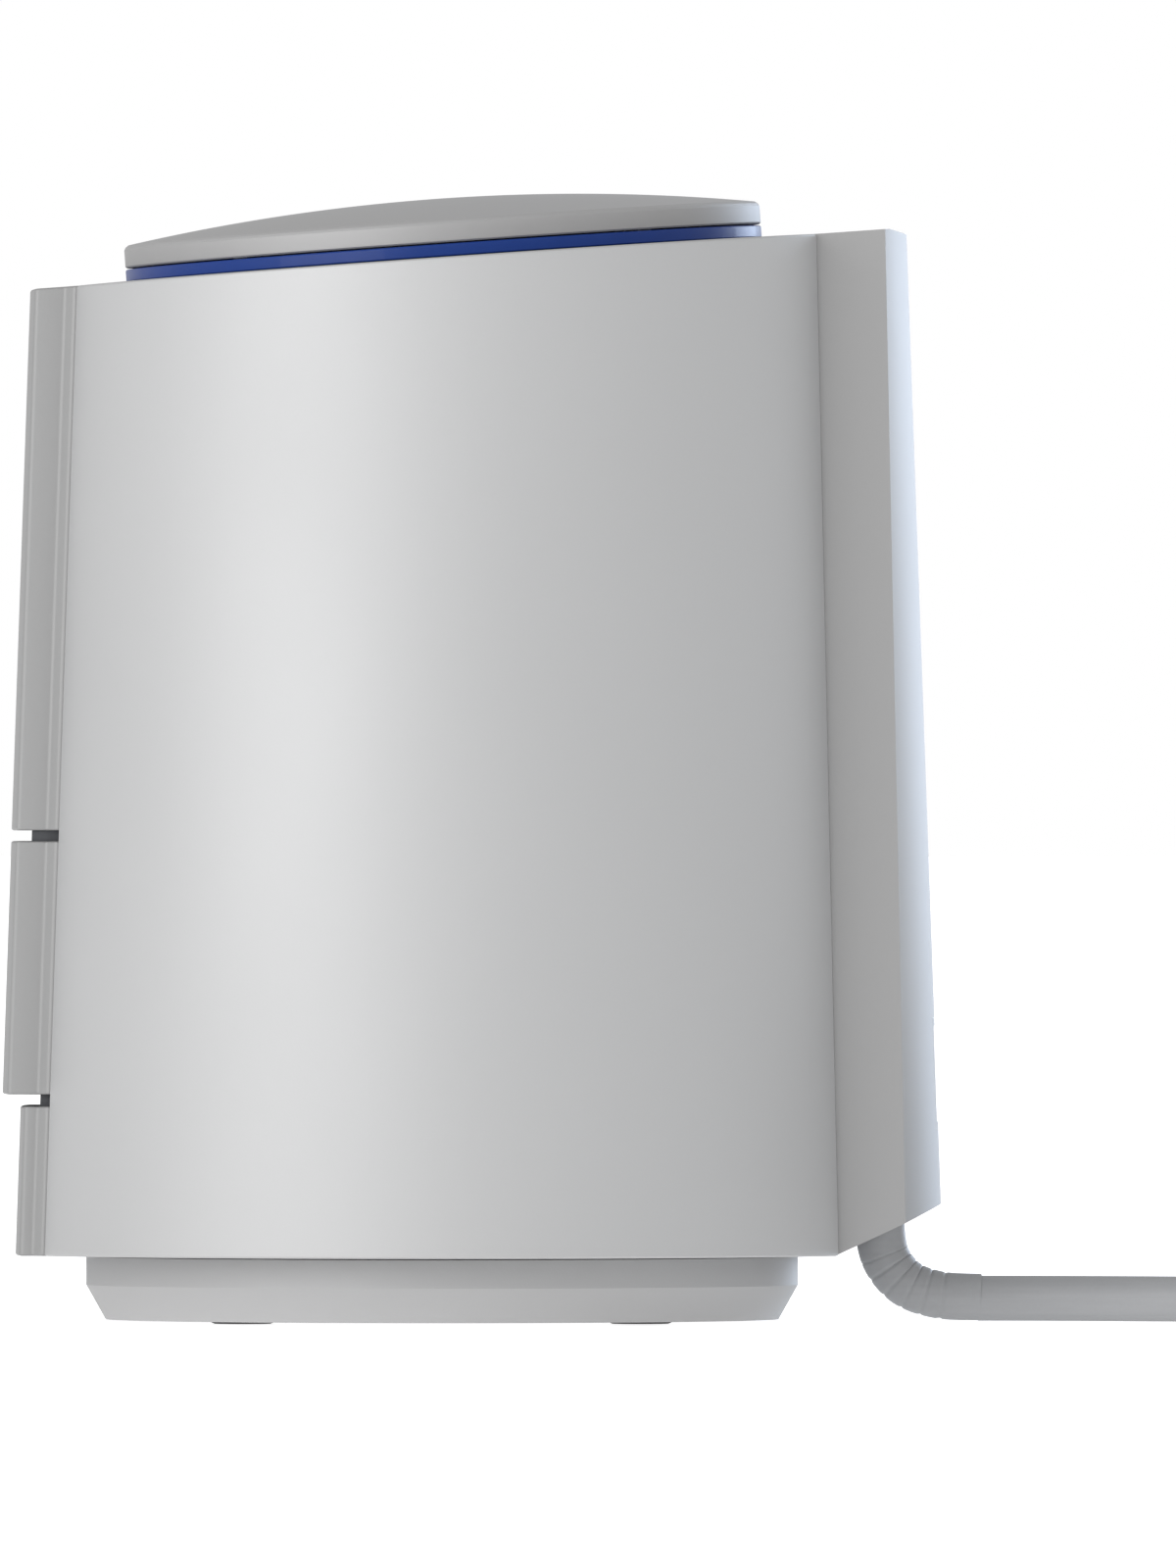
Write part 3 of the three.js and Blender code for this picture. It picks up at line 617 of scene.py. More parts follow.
SPOKES = [(i + 0.5) / SLOTS * 2 * math.pi for i in range(SLOTS)]
top_plate = loft("top_plate", plate_outline(-78.5, 84, WALL + 0.4), deck_height(-2), deck_height(),
                 "housing", 0.0)
slots = [spoke_slot(a, SLOT_IN, SLOT_OUT, SLOT_WIDTH) for a in SPOKES]
cut_with(top_plate, [cutter_prisms(slots, -6, 6, DECK)])
round_edges(top_plate, 0.3)
spigot_profile = [(30, -1), (32, -1), (32, 3.6), (31.6, 4), (30.4, 4), (30, 3.6)]
spigot = turned("spigot", spigot_profile, 96, "housing", CAP)
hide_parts("top_deck")
print("top plate faces:", len(top_plate.data.polygons))

# %% [markdown]
# ## Feet and screws
# Seen only when the object is picked up: four soft feet sunk in the base, and three cross-head screws
# that pull the base up against the body.

# %% Feet and screws
CROSS_LONG, CROSS_WIDE = 1.7, 0.32
feet, screws = [], []
for i, (x, y) in enumerate(FOOT_SPOTS):
    foot = turned(f"foot_{i + 1}", [
        (0, 0.25), (3.4, 0.25), (3.8, 0.0), (5.2, 0.0), (5.8, 0.25), (6, 0.8), (6, 1.6), (0, 1.6),
    ], 48, "housing", Matrix.Translation(place(x, y, 0)), closed=False)
    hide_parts(f"rubber_foot_{i + 1}")
    feet.append(foot)
for i, (x, y) in enumerate(SCREW_SPOTS):
    screw = turned(f"screw_{i + 1}", [
        (0, 0.72), (1.6, 0.74), (2.6, 0.9), (3.0, 1.2), (3.0, 1.7), (1.3, 1.7), (1.3, 10), (0, 10),
    ], 32, "housing", Matrix.Translation(place(x, y, 0)), closed=False)
    arms = [[(x - a, y - b), (x + a, y - b), (x + a, y + b), (x - a, y + b)]
            for a, b in ((CROSS_LONG, CROSS_WIDE), (CROSS_WIDE, CROSS_LONG))]
    cut_with(screw, [cutter_prisms([arm], 0, 1.35) for arm in arms])
    screw.data.set_sharp_from_angle(angle=math.radians(SHARP))
    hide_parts(f"base_screw_{i + 1}")
    screws.append(screw)
print("feet and screws:", len(feet), len(screws))

# %% [markdown]
# ## Fan wheel
# The wheel is a cup that hides the motor, with seven blades. Each blade is a skin over thin oval sections
# from the hub outwards, and it lies flatter towards its tip, where it moves faster through the air.

# %% Solids added to a piece
def add_solids(piece, solids):
    """Adds closed skins to a piece's mesh; each solid is a list of rings of points."""
    bm = bmesh.new()
    bm.from_mesh(piece.data)
    for rings in solids:
        skin(bm, [[bm.verts.new(point) for point in ring] for ring in rings])
    bmesh.ops.recalc_face_normals(bm, faces=bm.faces)
    bm.to_mesh(piece.data)
    bm.free()


print("add_solids is ready")

# %% Fan wheel
HUB_R, TIP_R, BLADE_Z, CHORD, BLADE_T, BLADES = 20.0, 48.4, 118.0, 20.0, 1.6, 7
ROOT_R, SECTIONS, EDGE_T = HUB_R - 1.5, 12, 0.16
ROOT_PITCH, PITCH_GAIN, PITCH_SPAN = 40, 18, 28
hub_profile = [(0, 105), (16.4, 105), (18.2, 105.6), (19.6, 107), (HUB_R, 108.6), (HUB_R, 130.6), (19.7, 131),
               (16.8, 131), (16.8, 107.4), (0, 107.4)]


def blade_section(r, steps=12):
    """Points round the blade's oval section at radius r, across it and along its chord, at its pitch."""
    points = []
    for i in range(2 * steps):
        along = i / steps if i <= steps else 2 - i / steps
        sign = 1 if i <= steps else -1
        half = BLADE_T / 2 * (EDGE_T + (1 - EDGE_T) * math.sqrt(max(1 - (2 * along - 1) ** 2, 0)))
        points.append((sign * half, (along - 0.5) * CHORD))
    pitch = math.radians(ROOT_PITCH + PITCH_GAIN * (r - HUB_R) / PITCH_SPAN)
    return [(x * math.cos(pitch) + z * math.sin(pitch), z * math.cos(pitch) - x * math.sin(pitch))
            for x, z in points]


def blade(number):
    """The rings of points of one blade, from inside the hub's wall to the tip."""
    turn = BASE @ Matrix.Rotation(2 * math.pi * number / BLADES, 4, "Z")
    radii = [ROOT_R + (TIP_R - ROOT_R) * i / SECTIONS for i in range(SECTIONS + 1)]
    return [[turn @ (Vector((x, r, BLADE_Z + z)) * MM) for x, z in blade_section(r)] for r in radii]


fan_wheel = turned("fan_wheel", hub_profile, 96, "rotor", BASE, closed=False)
add_solids(fan_wheel, [blade(number) for number in range(BLADES)])
fan_wheel.data.shade_smooth()
fan_wheel.data.set_sharp_from_angle(angle=math.radians(SHARP))
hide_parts("impeller")
print("fan wheel faces:", len(fan_wheel.data.polygons))

# %% [markdown]
# ## Motor core and windings
# Six teeth stand on a ring of steel sheets, and each carries a coil of copper wire. The wire is one tube
# led round its tooth, turn beside turn, so that the turns show.

# %% Core
CORE_LOW, CORE_HIGH, NECK = 115.5, 129.0, 1.6
TEETH = [i * math.pi / 3 for i in range(6)]
TOOTH = [(6.6, -NECK), (11.5, -NECK), (11.5, -4.1), (13.3, -4.1), (13.4, -3.9), (13.4, 3.9), (13.3, 4.1),
         (11.5, 4.1), (11.5, NECK), (6.6, NECK)]


def tooth(turn):
    """The lower and the upper outline of one tooth."""
    return [[place(x, y, z) for x, y in turn_flat(TOOTH, turn)] for z in (CORE_LOW + 0.3, CORE_HIGH - 0.3)]


core = turned("stator_core", [(5.3, CORE_LOW), (7.5, CORE_LOW), (7.5, CORE_HIGH), (5.3, CORE_HIGH)], 60,
              "housing", BASE)
add_solids(core, [tooth(turn) for turn in TEETH])
core.data.set_sharp_from_angle(angle=math.radians(SHARP))
print("core teeth:", len(TEETH))

# %% Windings
WIRE_R, COIL_IN, COIL_OUT = 0.21, 8.0, 11.1
ENAMEL, CLEAR, SQUARENESS = 0.02, 0.05, 0.35


def squared(value):
    """A sine or cosine pushed outwards, so that a circle becomes a rounded square."""
    return math.copysign(abs(value) ** SQUARENESS, value)


def coil_route(turn, steps=20):
    """The wire's centre round one tooth, from the ring outwards."""
    turns = int((COIL_OUT - COIL_IN) / (2 * WIRE_R + ENAMEL))
    c, k = math.cos(turn), math.sin(turn)
    half_w, half_h = NECK + WIRE_R + CLEAR, (CORE_HIGH - CORE_LOW) / 2 + CLEAR
    middle = (CORE_LOW + CORE_HIGH) / 2
    points = []
    for i in range(turns * steps + 1):
        a = 2 * math.pi * i / steps
        x = COIL_IN + (COIL_OUT - COIL_IN) * i / (turns * steps)
        y = half_w * squared(math.cos(a))
        z = middle + half_h * squared(math.sin(a))
        points.append(place(x * c - y * k, x * k + y * c, z))
    return points


windings = []
for i, turn in enumerate(TEETH):
    coil = tube(f"winding_{i + 1}", coil_route(turn), WIRE_R * MM, 8)
    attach(coil, "housing")
    windings.append(coil)
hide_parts("stator")
print("windings:", len(windings))

# %% [markdown]
# ## The boot of the lead
# Where the lead leaves the body it turns through a right angle, so it runs in a moulded boot that is
# thicker than the cable and has grooves cut across it, which let the boot bend without kinking.

# %% Boot
BOOT = [(81.3, 22.5), (81.35, 16.8), (82.6, 11.4), (86.4, 7.0), (92.4, 4.9), (100.0, 4.5)]


def catmull(points, t):
    """A point on a smooth curve through the points, t from 0 to 1."""
    n = len(points) - 1
    i = min(int(t * n), n - 1)
    f = t * n - i
    p = [points[max(i - 1, 0)], points[i], points[i + 1], points[min(i + 2, n)]]
    return [0.5 * (2 * b + (c - a) * f
                   + (2 * a - 5 * b + 4 * c - d) * f * f
                   + (3 * b - a - 3 * c + d) * f ** 3)
            for a, b, c, d in zip(*p)]


STEPS, SIDES, NEAR = 120, 32, 0.004
BOOT_START_R, BOOT_END_R = 4.7, 4.33
GROOVED, GROOVE_RATE, GROOVE_DEPTH = (0.36, 0.86), 11, 0.22


def boot_radius(t):
    """The boot's radius along its length: a taper, with grooves over the middle of it."""
    r = BOOT_START_R + (BOOT_END_R - BOOT_START_R) * t
    if not GROOVED[0] < t < GROOVED[1]:
        return r
    return r - GROOVE_DEPTH * max(0.0, math.cos((t - GROOVED[0]) * 2 * math.pi * GROOVE_RATE)) ** 6


bm = bmesh.new()
rings = []
for i in range(STEPS + 1):
    t = i / STEPS
    y, z = catmull(BOOT, t)
    y1, z1 = catmull(BOOT, min(t + NEAR, 1))
    y0, z0 = catmull(BOOT, max(t - NEAR, 0))
    length = math.hypot(y1 - y0, z1 - z0)
    ty, tz = (y1 - y0) / length, (z1 - z0) / length
    r = boot_radius(t)
    across = [(r * math.cos(a), r * math.sin(a)) for a in (2 * math.pi * j / SIDES for j in range(SIDES))]
    rings.append([bm.verts.new(place(x, y - tz * up, z + ty * up)) for x, up in across])
skin(bm, rings)
boot = finish_mesh("lead_boot", bm, "housing", 0.0, angle=60)
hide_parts("strain_relief")
print("boot:", STEPS, "rings")

# %% [markdown]
# ## Plug and tie
# The plug is moulded on the lead: a ribbed neck that swells into a body with a grip on each side. It is
# made of rounded sections along its length. The tie is a plain strap bent over the coil.

# %% Plug
PLUG_START, PLUG_LENGTH, STATIONS, PLUG_SIDES = 1.8, 51.8, 150, 56
PLUG = place(COIL_X - 0.8, COIL_Y + COLUMN_IN, PLUG_Z)
PLUG_OUTLINE = [(1.8, 4.6, 4.6), (0.8, 5.0, 5.0), (-20, 6.2, 5.8), (-25, 8.0, 6.6), (-31, 12.3, 7.4),
                (-47.5, 12.4, 7.5), (-49.4, 11.6, 7.0), (-50, 10.4, 6.0)]
RIBBED, GRIPPED = (-18.4, -2.2), (-45.6, -32.6)


def grooves(x, span, middle, pitch):
    """A row of narrow grooves over a span of the plug: one at the bottom of a groove, zero outside."""
    if not span[0] < x < span[1]:
        return 0.0
    return max(0.0, math.cos((x - middle) * 2 * math.pi / pitch)) ** 4


def plug_section(x):
    """Half width, half height and squareness of the plug's section."""
    for (x0, w0, h0), (x1, w1, h1) in zip(PLUG_OUTLINE, PLUG_OUTLINE[1:]):
        if x >= x1:
            f = ease(x, x0, x1) if x0 < x1 else 1 - ease(x, x1, x0)
            w, h = w0 + (w1 - w0) * f, h0 + (h1 - h0) * f
            break
    neck = grooves(x, RIBBED, -10, 2.6)
    grip = grooves(x, GRIPPED, -39, 2.4)
    return w - 0.55 * neck - 0.5 * grip, h - 0.5 * neck, 2 + 2.4 * ease(-x, 20, 32)


bm = bmesh.new()
rings = []
for i in range(STATIONS + 1):
    x = PLUG_START - PLUG_LENGTH * i / STATIONS
    w, h, power = plug_section(x)
    ring_points = []
    for j in range(PLUG_SIDES):
        a = 2 * math.pi * j / PLUG_SIDES
        c, k = math.cos(a), math.sin(a)
        y = w * math.copysign(abs(c) ** (2 / power), c)
        z = h * math.copysign(abs(k) ** (2 / power), k)
        ring_points.append(bm.verts.new(PLUG + Vector((x, y, z)) * MM))
    rings.append(ring_points)
skin(bm, rings)
plug = finish_mesh("plug_moulding", bm, "housing", 0.0, angle=50)
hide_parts("plug_body")
print("plug stations:", len(rings))

# %% Tie
TIE = Matrix.Translation(place(COIL_X, COIL_Y, 0)) @ Matrix.Rotation(-2.3, 4, "Z")
inner_r, outer_r, tie_top, bend, thick, half_wide = 36.7, 63.25, 17.6, 3.6, 0.55, 4.9
path = [(outer_r, 0.3)] + arc(outer_r - bend, tie_top - bend, bend, 0, math.pi / 2, 8)
path += arc(inner_r + bend, tie_top - bend, bend, math.pi / 2, math.pi, 8) + [(inner_r, 0.3)]
bm = bmesh.new()
rows = []
for i, (r, z) in enumerate(path):
    r0, z0 = path[max(i - 1, 0)]
    r1, z1 = path[min(i + 1, len(path) - 1)]
    length = math.hypot(r1 - r0, z1 - z0)
    nr, nz = (z1 - z0) / length * thick, -(r1 - r0) / length * thick
    corners = [(r + out * nr, y, z + out * nz) for out, y in
               ((1, -half_wide), (1, half_wide), (-1, half_wide), (-1, -half_wide))]
    rows.append([bm.verts.new(TIE @ (Vector(p) * MM)) for p in corners])
skin(bm, rows)
tie = finish_mesh("tie_strap", bm, "housing", 0.2, angle=50, segments=2)
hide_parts("cord_tie")
print("tie rows:", len(rows))

# %% [markdown]
# ## Shared surface effects
# Small node groups that give out only masks and values, so that every material can use them with its own
# numbers: a moulded grain, dust that settles on what faces up, edges rubbed by hands, stretched strokes
# for brushed metal and drawn cable, and cells for anything made of grains.

# %% Helpers for groups
def new_group(name, outputs, inputs):
    """An empty node group with named values going in and coming out."""
    group = bpy.data.node_groups.new(name, "ShaderNodeTree")
    for label, default in inputs:
        socket = group.interface.new_socket(name=label, in_out="INPUT", socket_type="NodeSocketFloat")
        socket.default_value = default
    for label in outputs:
        group.interface.new_socket(name=label, in_out="OUTPUT", socket_type="NodeSocketFloat")
    return group, group.nodes.new("NodeGroupInput"), group.nodes.new("NodeGroupOutput")


def math_node(tree, operation, a, b):
    """A math node on two values; each is a socket to link or a plain number."""
    node = tree.nodes.new("ShaderNodeMath")
    node.operation = operation
    for i, value in enumerate((a, b)):
        if isinstance(value, (int, float)):
            node.inputs[i].default_value = value
        else:
            tree.links.new(value, node.inputs[i])
    return node.outputs["Value"]


def noise_on(tree, scale, detail, stretch=None):
    """Noise in the piece's own coordinates; scale is a number or a socket, stretch one factor per axis."""
    coords = tree.nodes.new("ShaderNodeTexCoord")
    vector = coords.outputs["Object"]
    if stretch:
        mapping = tree.nodes.new("ShaderNodeMapping")
        mapping.inputs["Scale"].default_value = stretch
        tree.links.new(vector, mapping.inputs["Vector"])
        vector = mapping.outputs["Vector"]
    noise = tree.nodes.new("ShaderNodeTexNoise")
    noise.inputs["Detail"].default_value = detail
    tree.links.new(vector, noise.inputs["Vector"])
    if isinstance(scale, (int, float)):
        noise.inputs["Scale"].default_value = scale
    else:
        tree.links.new(scale, noise.inputs["Scale"])
    return noise.outputs["Fac"]


def remap(tree, value, low, high, to_low=0.0, to_high=1.0):
    """Stretches a value from one range to another and cuts off what lies outside."""
    node = tree.nodes.new("ShaderNodeMapRange")
    for label, number in (("From Min", low), ("From Max", high), ("To Min", to_low), ("To Max", to_high)):
        node.inputs[label].default_value = number
    tree.links.new(value, node.inputs["Value"])
    return node.outputs["Result"]


print("group helpers are ready")

# %% Moulded grain
def make_grain():
    """Fine is the spark erosion texture of the mould, Clouds the slow change of tone over a big wall."""
    group, inn, out = new_group("moulded_grain", ["Fine", "Clouds"], [("Scale", 900.0)])
    group.links.new(noise_on(group, inn.outputs["Scale"], 3), out.inputs["Fine"])
    group.links.new(remap(group, noise_on(group, 14, 4), 0.3, 0.7), out.inputs["Clouds"])
    return group


GRAIN = make_grain()
print("grain outputs:", [s.name for s in GRAIN.interface.items_tree if s.in_out == "OUTPUT"])

# %% Settled dust
def make_dust():
    """Dust lies where a face looks up, thinner where a cloud of noise says that it was wiped."""
    group, inn, out = new_group("settled_dust", ["Mask"], [("Amount", 0.3)])
    facing = group.nodes.new("ShaderNodeNewGeometry")
    split = group.nodes.new("ShaderNodeSeparateXYZ")
    group.links.new(facing.outputs["Normal"], split.inputs["Vector"])
    upward = remap(group, split.outputs["Z"], 0.55, 0.98)
    patches = remap(group, noise_on(group, 60, 6), 0.35, 0.75)
    specks = remap(group, noise_on(group, 1400, 2), 0.55, 0.75)
    cover = math_node(group, "MULTIPLY", upward, math_node(group, "ADD", patches, specks))
    group.links.new(math_node(group, "MULTIPLY", cover, inn.outputs["Amount"]), out.inputs["Mask"])
    return group


DUST = make_dust()
print("dust inputs:", [s.name for s in DUST.interface.items_tree if s.in_out == "INPUT"])

# %% Rubbed edges
def make_rubbed():
    """Convex edges are rubbed smoother and a little lighter, unevenly along their length."""
    group, inn, out = new_group("rubbed_edges", ["Mask"], [("Amount", 0.4)])
    shape = group.nodes.new("ShaderNodeNewGeometry")
    edge = remap(group, shape.outputs["Pointiness"], 0.52, 0.6)
    broken = remap(group, noise_on(group, 220, 4), 0.3, 0.65)
    worn = math_node(group, "MULTIPLY", edge, broken)
    group.links.new(math_node(group, "MULTIPLY", worn, inn.outputs["Amount"]), out.inputs["Mask"])
    return group


RUBBED = make_rubbed()
print("rubbed edges ready")

# %% Strokes and cells
def make_strokes(name, stretch):
    """Fine lines along one axis, as brushing, drawing or winding leaves them."""
    group, inn, out = new_group(name, ["Mask"], [("Scale", 500.0)])
    group.links.new(remap(group, noise_on(group, inn.outputs["Scale"], 4, stretch), 0.35, 0.65),
                    out.inputs["Mask"])
    return group


def make_cells():
    """Separate grains with dark gaps, and a tone of their own. On the carbon the lighter middles and dark
    gaps are painted light and shade of round grains.
    """
    group, inn, out = new_group("packed_cells", ["Mask"], [("Scale", 600.0)])
    coords = group.nodes.new("ShaderNodeTexCoord")
    cells = group.nodes.new("ShaderNodeTexVoronoi")
    group.links.new(coords.outputs["Object"], cells.inputs["Vector"])
    group.links.new(inn.outputs["Scale"], cells.inputs["Scale"])
    group.links.new(remap(group, cells.outputs["Distance"], 0.0, 0.7, 1.0, 0.0), out.inputs["Mask"])
    return group


STROKES = make_strokes("level_strokes", (0.04, 0.04, 1))
FIBRES = make_strokes("paper_fibres", (1, 0.12, 0.3))
CELLS = make_cells()
print("groups:", [g.name for g in bpy.data.node_groups])

# %% [markdown]
# ## Materials
# Each finish is one shader. Its tone is mixed from two near colours by the grain, then the pattern, the
# rubbed edges and the dust go over it. Roughness and bump follow the same masks, so that a rubbed edge
# also shines and dust also dulls.

# %% Nodes of a material
def mixed(tree, factor, a, b):
    """A mix of two colours; each is a colour or a socket."""
    node = tree.nodes.new("ShaderNodeMix")
    node.data_type = "RGBA"
    tree.links.new(factor, node.inputs["Factor"])
    for socket, value in ((node.inputs["A"], a), (node.inputs["B"], b)):
        if isinstance(value, tuple):
            socket.default_value = (*value, 1)
        else:
            tree.links.new(value, socket)
    return node.outputs["Result"]


def placed(tree, group, **values):
    """A shared group placed in a material, with its own values."""
    node = tree.nodes.new("ShaderNodeGroup")
    node.node_tree = group
    for key, value in values.items():
        node.inputs[key].default_value = value
    return node


print("groups to place:", GRAIN.name, DUST.name, RUBBED.name)

# %% Material maker
DUST_COLOR, RUB_SHINE, DUST_DULL, RELIEF = (0.5, 0.48, 0.45), 0.25, 0.4, 0.0001


def tinted(color, factor, lift=0.0):
    """The colour made lighter or darker, never above white."""
    return tuple(min(c * factor + lift, 1) for c in color)


def finish(name, color, roughness, metallic=0.0, grain=900.0, bump=0.05, tone=0.04, spread=0.08,
           dust=0.12, rubbed=0.3, pattern=None, pattern_scale=500.0, pattern_mix=0.5, pattern_color=None,
           **sockets):
    mat = bpy.data.materials.new(name)
    mat.use_nodes = True
    tree = mat.node_tree
    shader = tree.nodes["Principled BSDF"]
    shader.inputs["Metallic"].default_value = metallic
    for key, value in sockets.items():
        shader.inputs[key.replace("_", " ")].default_value = value
    texture = placed(tree, GRAIN, Scale=grain)
    fine, clouds = texture.outputs["Fine"], texture.outputs["Clouds"]
    edges = placed(tree, RUBBED, Amount=rubbed).outputs["Mask"]
    settled = placed(tree, DUST, Amount=dust).outputs["Mask"]
    average = math_node(tree, "MULTIPLY", math_node(tree, "ADD", fine, clouds), 0.5)
    surface = mixed(tree, average, tinted(color, 1 - tone), tinted(color, 1 + tone))
    height = fine
    if pattern:
        mask = placed(tree, pattern, Scale=pattern_scale).outputs["Mask"]
        amount = math_node(tree, "MULTIPLY", mask, pattern_mix)
        surface = mixed(tree, amount, surface, pattern_color or tinted(color, 1.5))
        height = math_node(tree, "ADD", fine, mask)
    surface = mixed(tree, edges, surface, tinted(color, 1.25, 0.02))
    surface = mixed(tree, settled, surface, DUST_COLOR)
    tree.links.new(surface, shader.inputs["Base Color"])
    rough = remap(tree, clouds, 0, 1, roughness - spread / 2, roughness + spread / 2)
    rough = math_node(tree, "SUBTRACT", rough, math_node(tree, "MULTIPLY", edges, RUB_SHINE))
    rough = math_node(tree, "ADD", rough, math_node(tree, "MULTIPLY", settled, DUST_DULL))
    tree.links.new(rough, shader.inputs["Roughness"])
    relief = tree.nodes.new("ShaderNodeBump")
    relief.inputs["Strength"].default_value = bump
    relief.inputs["Distance"].default_value = RELIEF
    tree.links.new(height, relief.inputs["Height"])
    tree.links.new(relief.outputs["Normal"], shader.inputs["Normal"])
    return mat


print("material maker is ready")

# %% Outer finishes
FINISHES = {
    "silver": finish("silver_satin", (0.535, 0.537, 0.54), roughness=0.62, metallic=0.6, grain=2600,
                     bump=0.1, tone=0.025, spread=0.06, dust=0.05, rubbed=0.0),
    "silver_dark": finish("grey_satin", (0.39, 0.388, 0.388), roughness=0.6, metallic=0.5, grain=2200,
                          bump=0.12, tone=0.02, spread=0.03, dust=0.06, rubbed=0.0),
    "cap": finish("cap_satin", (0.45, 0.448, 0.45), roughness=0.6, metallic=0.5, grain=2200, bump=0.12,
                  tone=0.02, spread=0.03, dust=0.06, rubbed=0.0),
    # the fascia's grey is the spine's satin made darker as painted shade; it takes back the front light that
    # reaches the fascia but not the spine
    "fascia": finish("fascia_satin_painted_shade", (0.335, 0.335, 0.335), roughness=0.6, metallic=0.5, grain=2200,
                     bump=0.12, tone=0.02, spread=0.03, dust=0.05, rubbed=0.0),
    "base": finish("base_grey", (0.5, 0.5, 0.503), roughness=0.6, metallic=0.35, grain=2200, bump=0.14,
                   tone=0.03, dust=0.1, rubbed=0.0),
    "blue_lens": finish("blue_lens", (0.008, 0.045, 0.26), roughness=0.42, metallic=0, grain=700,
                        bump=0.02, tone=0.08, dust=0.02, rubbed=0.1, Specular_IOR_Level=0.25,
                        Coat_Weight=0.1),
    "charcoal": finish("charcoal_moulding", (0.055, 0.058, 0.065), roughness=0.55, metallic=0, grain=1800,
                       bump=0.3, tone=0.12, dust=0.1),
    "rubber": finish("black_rubber", (0.03, 0.03, 0.032), roughness=0.68, metallic=0, grain=1500,
                     bump=0.35, tone=0.2, dust=0.12, rubbed=0.2),
    "cord_grey": finish("lead_sheath", (0.33, 0.335, 0.345), roughness=0.5, metallic=0, grain=1500,
                        bump=0.18, tone=0.06, dust=0.06, rubbed=0.1, pattern=STROKES, pattern_scale=900,
                        pattern_mix=0.08),
    "brass": finish("pin_brass", (0.68, 0.53, 0.26), roughness=0.28, metallic=1, grain=1200, bump=0.06,
                    tone=0.06, dust=0.02, pattern=STROKES, pattern_scale=2200, pattern_mix=0.25),
}
print("outer finishes:", len(FINISHES))

# %% Inner finishes
FINISHES.update({
    "white_media": finish("filter_paper", (0.78, 0.78, 0.74), roughness=0.92, metallic=0, grain=1200,
                          bump=0.6, tone=0.05, dust=0.0, rubbed=0.0, pattern=FIBRES, pattern_scale=2600,
                          pattern_mix=0.3, pattern_color=(0.62, 0.62, 0.58), Sheen_Weight=0.2),
    "white_plastic": finish("white_moulding", (0.78, 0.78, 0.75), roughness=0.45, metallic=0, grain=1500,
                            bump=0.12, tone=0.03, dust=0.05),
    # the carbon's lighter cell middles and dark gaps are painted light and shade of round packed grains
    "carbon": finish("carbon_grains", (0.016, 0.016, 0.018), roughness=0.75, metallic=0, grain=700,
                     bump=1.0, tone=0.4, dust=0.0, rubbed=0.0, pattern=CELLS, pattern_scale=620,
                     pattern_mix=0.35, pattern_color=(0.07, 0.07, 0.075)),
    "steel": finish("bright_steel", (0.6, 0.61, 0.62), roughness=0.28, metallic=1, grain=1500, bump=0.1,
                    tone=0.05, dust=0.03, pattern=STROKES, pattern_scale=2600, pattern_mix=0.2),
    "copper": finish("copper_winding", (0.62, 0.27, 0.12), roughness=0.35, metallic=1, grain=900,
                     bump=0.5, tone=0.15, dust=0.02, pattern=STROKES, pattern_scale=1500, pattern_mix=0.6,
                     pattern_color=(0.35, 0.12, 0.05)),
    "board": finish("circuit_board", (0.02, 0.15, 0.06), roughness=0.35, metallic=0, grain=800, bump=0.2,
                    tone=0.1, dust=0.05, pattern=CELLS, pattern_scale=260, pattern_mix=0.35,
                    pattern_color=(0.05, 0.27, 0.1)),
    "blue_can": finish("blue_sleeve", (0.03, 0.08, 0.25), roughness=0.3, metallic=0, grain=900, bump=0.08,
                       tone=0.05),
    "led": finish("led_lens", (0.55, 0.6, 0.7), roughness=0.3, metallic=0, grain=900, bump=0.02,
                  tone=0.03, dust=0.0, rubbed=0.0),
})
print("finishes:", sorted(FINISHES))

# %% [markdown]
# ## Painting
# Each piece takes the finish of its slot in the record, or a look of its own within that slot. The measured
# pieces that stay in view get the same finishes, and their hard edges are rounded too.

# %% Painting the pieces
def paint(piece, slot_name, look=None):
    """Gives a piece its own look, or else the finish of its slot."""
    piece.data.materials.clear()
    piece.data.materials.append(FINISHES[look or slot_name])


PAINTED = (
    (shells, "silver", None),
    # the fascia's darker satin carries painted shade
    ((upper_panel, drawer_panel, sill), "silver_dark", "fascia"),
    ((cap, collar), "silver_dark", "cap"),
    ((base,), "silver_dark", "base"),
    ((spine, slope_plate, spine_lid, bezel, top_plate, spigot), "silver_dark", None),
    ((*feet, plug, tie), "rubber", None),
    ((*lips, fan_wheel), "charcoal", None),
    ((*screws, core), "steel", None),
    (windings, "copper", None),
    ((ring,), "blue_lens", None),
    ((lead, boot), "cord_grey", None),
)
for pieces, slot_name, look in PAINTED:
    for piece in pieces:
        paint(piece, slot_name, look)
print("painted pieces:", sum(len(pieces) for pieces, slot_name, look in PAINTED))

# %% Painting the measured pieces
NODE_SHARP, NODE_ROUNDING, NODE_TURN = 30, 0.25, 40
slot_of = {row["node"]: row["material_slot"] for row in frame["record"]["subparts"]}
shown = 0
for name, node in nodes.items():
    node.data.materials.clear()
    node.data.materials.append(FINISHES[slot_of[name]])
    node.data.shade_smooth()
    node.data.set_sharp_from_angle(angle=math.radians(NODE_SHARP))
    if not node.hide_render:
        round_edges(node, NODE_ROUNDING, NODE_TURN, 2)
        shown += 1
print("measured pieces that stay in view:", shown)
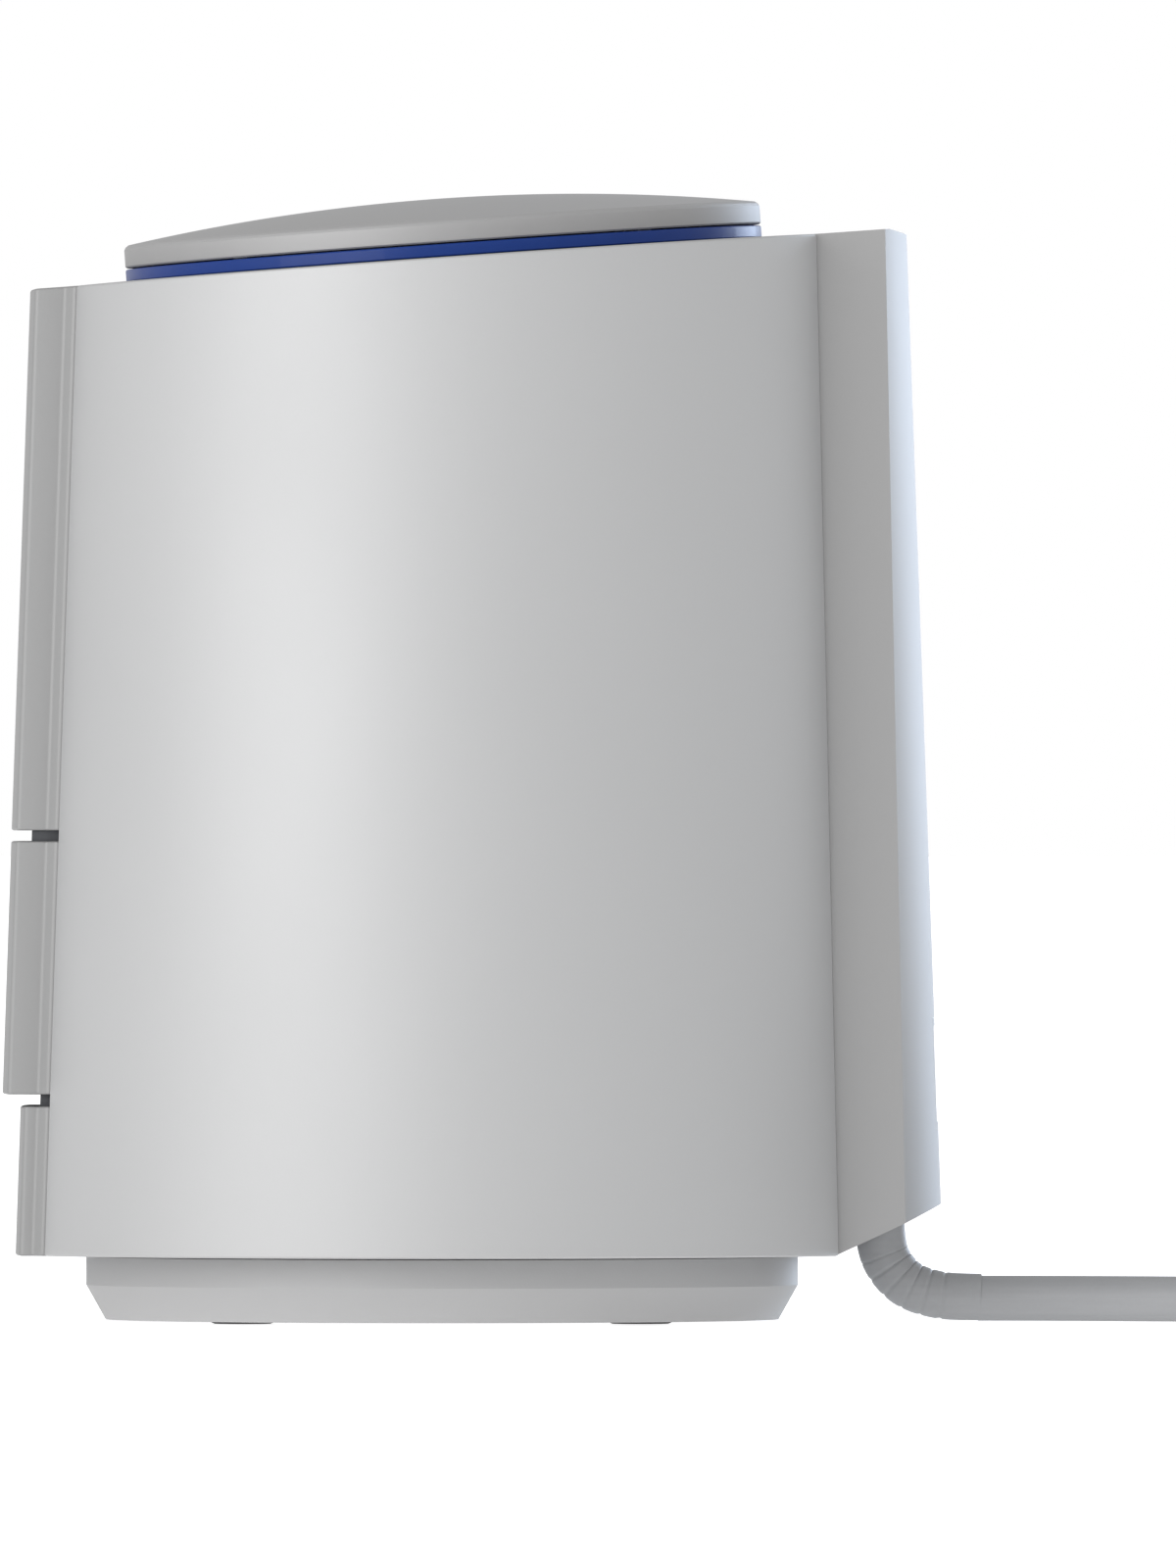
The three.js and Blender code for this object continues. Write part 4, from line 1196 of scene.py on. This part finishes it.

# %% [markdown]
# ## The lead
# The lead is the one flexible piece. It is 8.4 millimetres thick, comes out of its boot and ends in its plug.

# %% [markdown]
# ## Floor and light
# A white table top in a white room, a wide soft light between the camera and the front of the object, and
# a cool light behind it that draws the crowned back out of the shade. The table is clear from below, so
# that the underside can be looked at, and it looks brighter to the camera than it lights the object.

# %% Table top
TABLE_R, TABLE_SIDES, BELOW_FEET = 90, 96, Matrix.Translation((0, 0, -0.0002))
bm = bmesh.new()
bmesh.ops.create_circle(bm, cap_ends=True, radius=TABLE_R, segments=TABLE_SIDES, matrix=BELOW_FEET)
mesh = bpy.data.meshes.new("table_top")
bm.to_mesh(mesh)
bm.free()
table = bpy.data.objects.new("table_top", mesh)
bpy.context.scene.collection.objects.link(table)
print("table top:", 2 * TABLE_R, "m across")

# %% Paper of the table top
TABLE_LIGHT, TABLE_SEEN = 0.5, 0.72


def for_camera(tree, strength, others, camera_sees):
    """Sets a strength to one value for the camera and to another for light that falls on things."""
    path = tree.nodes.new("ShaderNodeLightPath")
    choice = tree.nodes.new("ShaderNodeMapRange")
    choice.inputs["To Min"].default_value = others
    choice.inputs["To Max"].default_value = camera_sees
    tree.links.new(path.outputs["Is Camera Ray"], choice.inputs["Value"])
    tree.links.new(choice.outputs["Result"], strength)


paper = bpy.data.materials.new("white_paper")
paper.use_nodes = True
paper_tree = paper.node_tree
paper_shader = paper_tree.nodes["Principled BSDF"]
paper_shader.inputs["Base Color"].default_value = (0.86, 0.86, 0.86, 1)
paper_shader.inputs["Roughness"].default_value = 0.9
paper_shader.inputs["Emission Color"].default_value = (1, 1, 1, 1)
for_camera(paper_tree, paper_shader.inputs["Emission Strength"], TABLE_LIGHT, TABLE_SEEN)
clear = paper_tree.nodes.new("ShaderNodeBsdfTransparent")
face = paper_tree.nodes.new("ShaderNodeNewGeometry")
either = paper_tree.nodes.new("ShaderNodeMixShader")
paper_tree.links.new(face.outputs["Backfacing"], either.inputs["Fac"])
paper_tree.links.new(paper_shader.outputs["BSDF"], either.inputs[1])
paper_tree.links.new(clear.outputs["BSDF"], either.inputs[2])
paper_tree.links.new(either.outputs["Shader"], paper_tree.nodes["Material Output"].inputs["Surface"])
mesh.materials.append(paper)
print("paper nodes:", len(paper_tree.nodes))

# %% Room
ROOM_LIGHT, ROOM_SEEN = 0.62, 1.0
world = bpy.data.worlds.new("studio")
bpy.context.scene.world = world
world.use_nodes = True
room = world.node_tree.nodes["Background"]
room.inputs["Color"].default_value = (1, 1, 1, 1)
for_camera(world.node_tree, room.inputs["Strength"], ROOM_LIGHT, ROOM_SEEN)
print("room light:", ROOM_LIGHT)

# %% Lights
def area(name, location, target, size, size_y, power, color):
    """A flat rectangular light that looks at a target; sizes in metres, power in watts."""
    data = bpy.data.lights.new(name, "AREA")
    data.shape = "RECTANGLE"
    data.size, data.size_y, data.energy, data.color = size, size_y, power, color
    light = bpy.data.objects.new(name, data)
    light.location = location
    light.rotation_euler = (Vector(target) - Vector(location)).to_track_quat("-Z", "Y").to_euler()
    bpy.context.scene.collection.objects.link(light)


centre = (0, AXIS_Y, 0.1)
area("key", (1.1, -0.95, 0.45), centre, size=1.1, size_y=1.0, power=9.5, color=(1, 1, 1))
area("rim", (-0.95, 0.7, 0.2), (0, 0.08, 0.1), size=0.5, size_y=0.9, power=8.5, color=(0.68, 0.81, 1.0))
bpy.context.scene.view_settings.view_transform = "Standard"
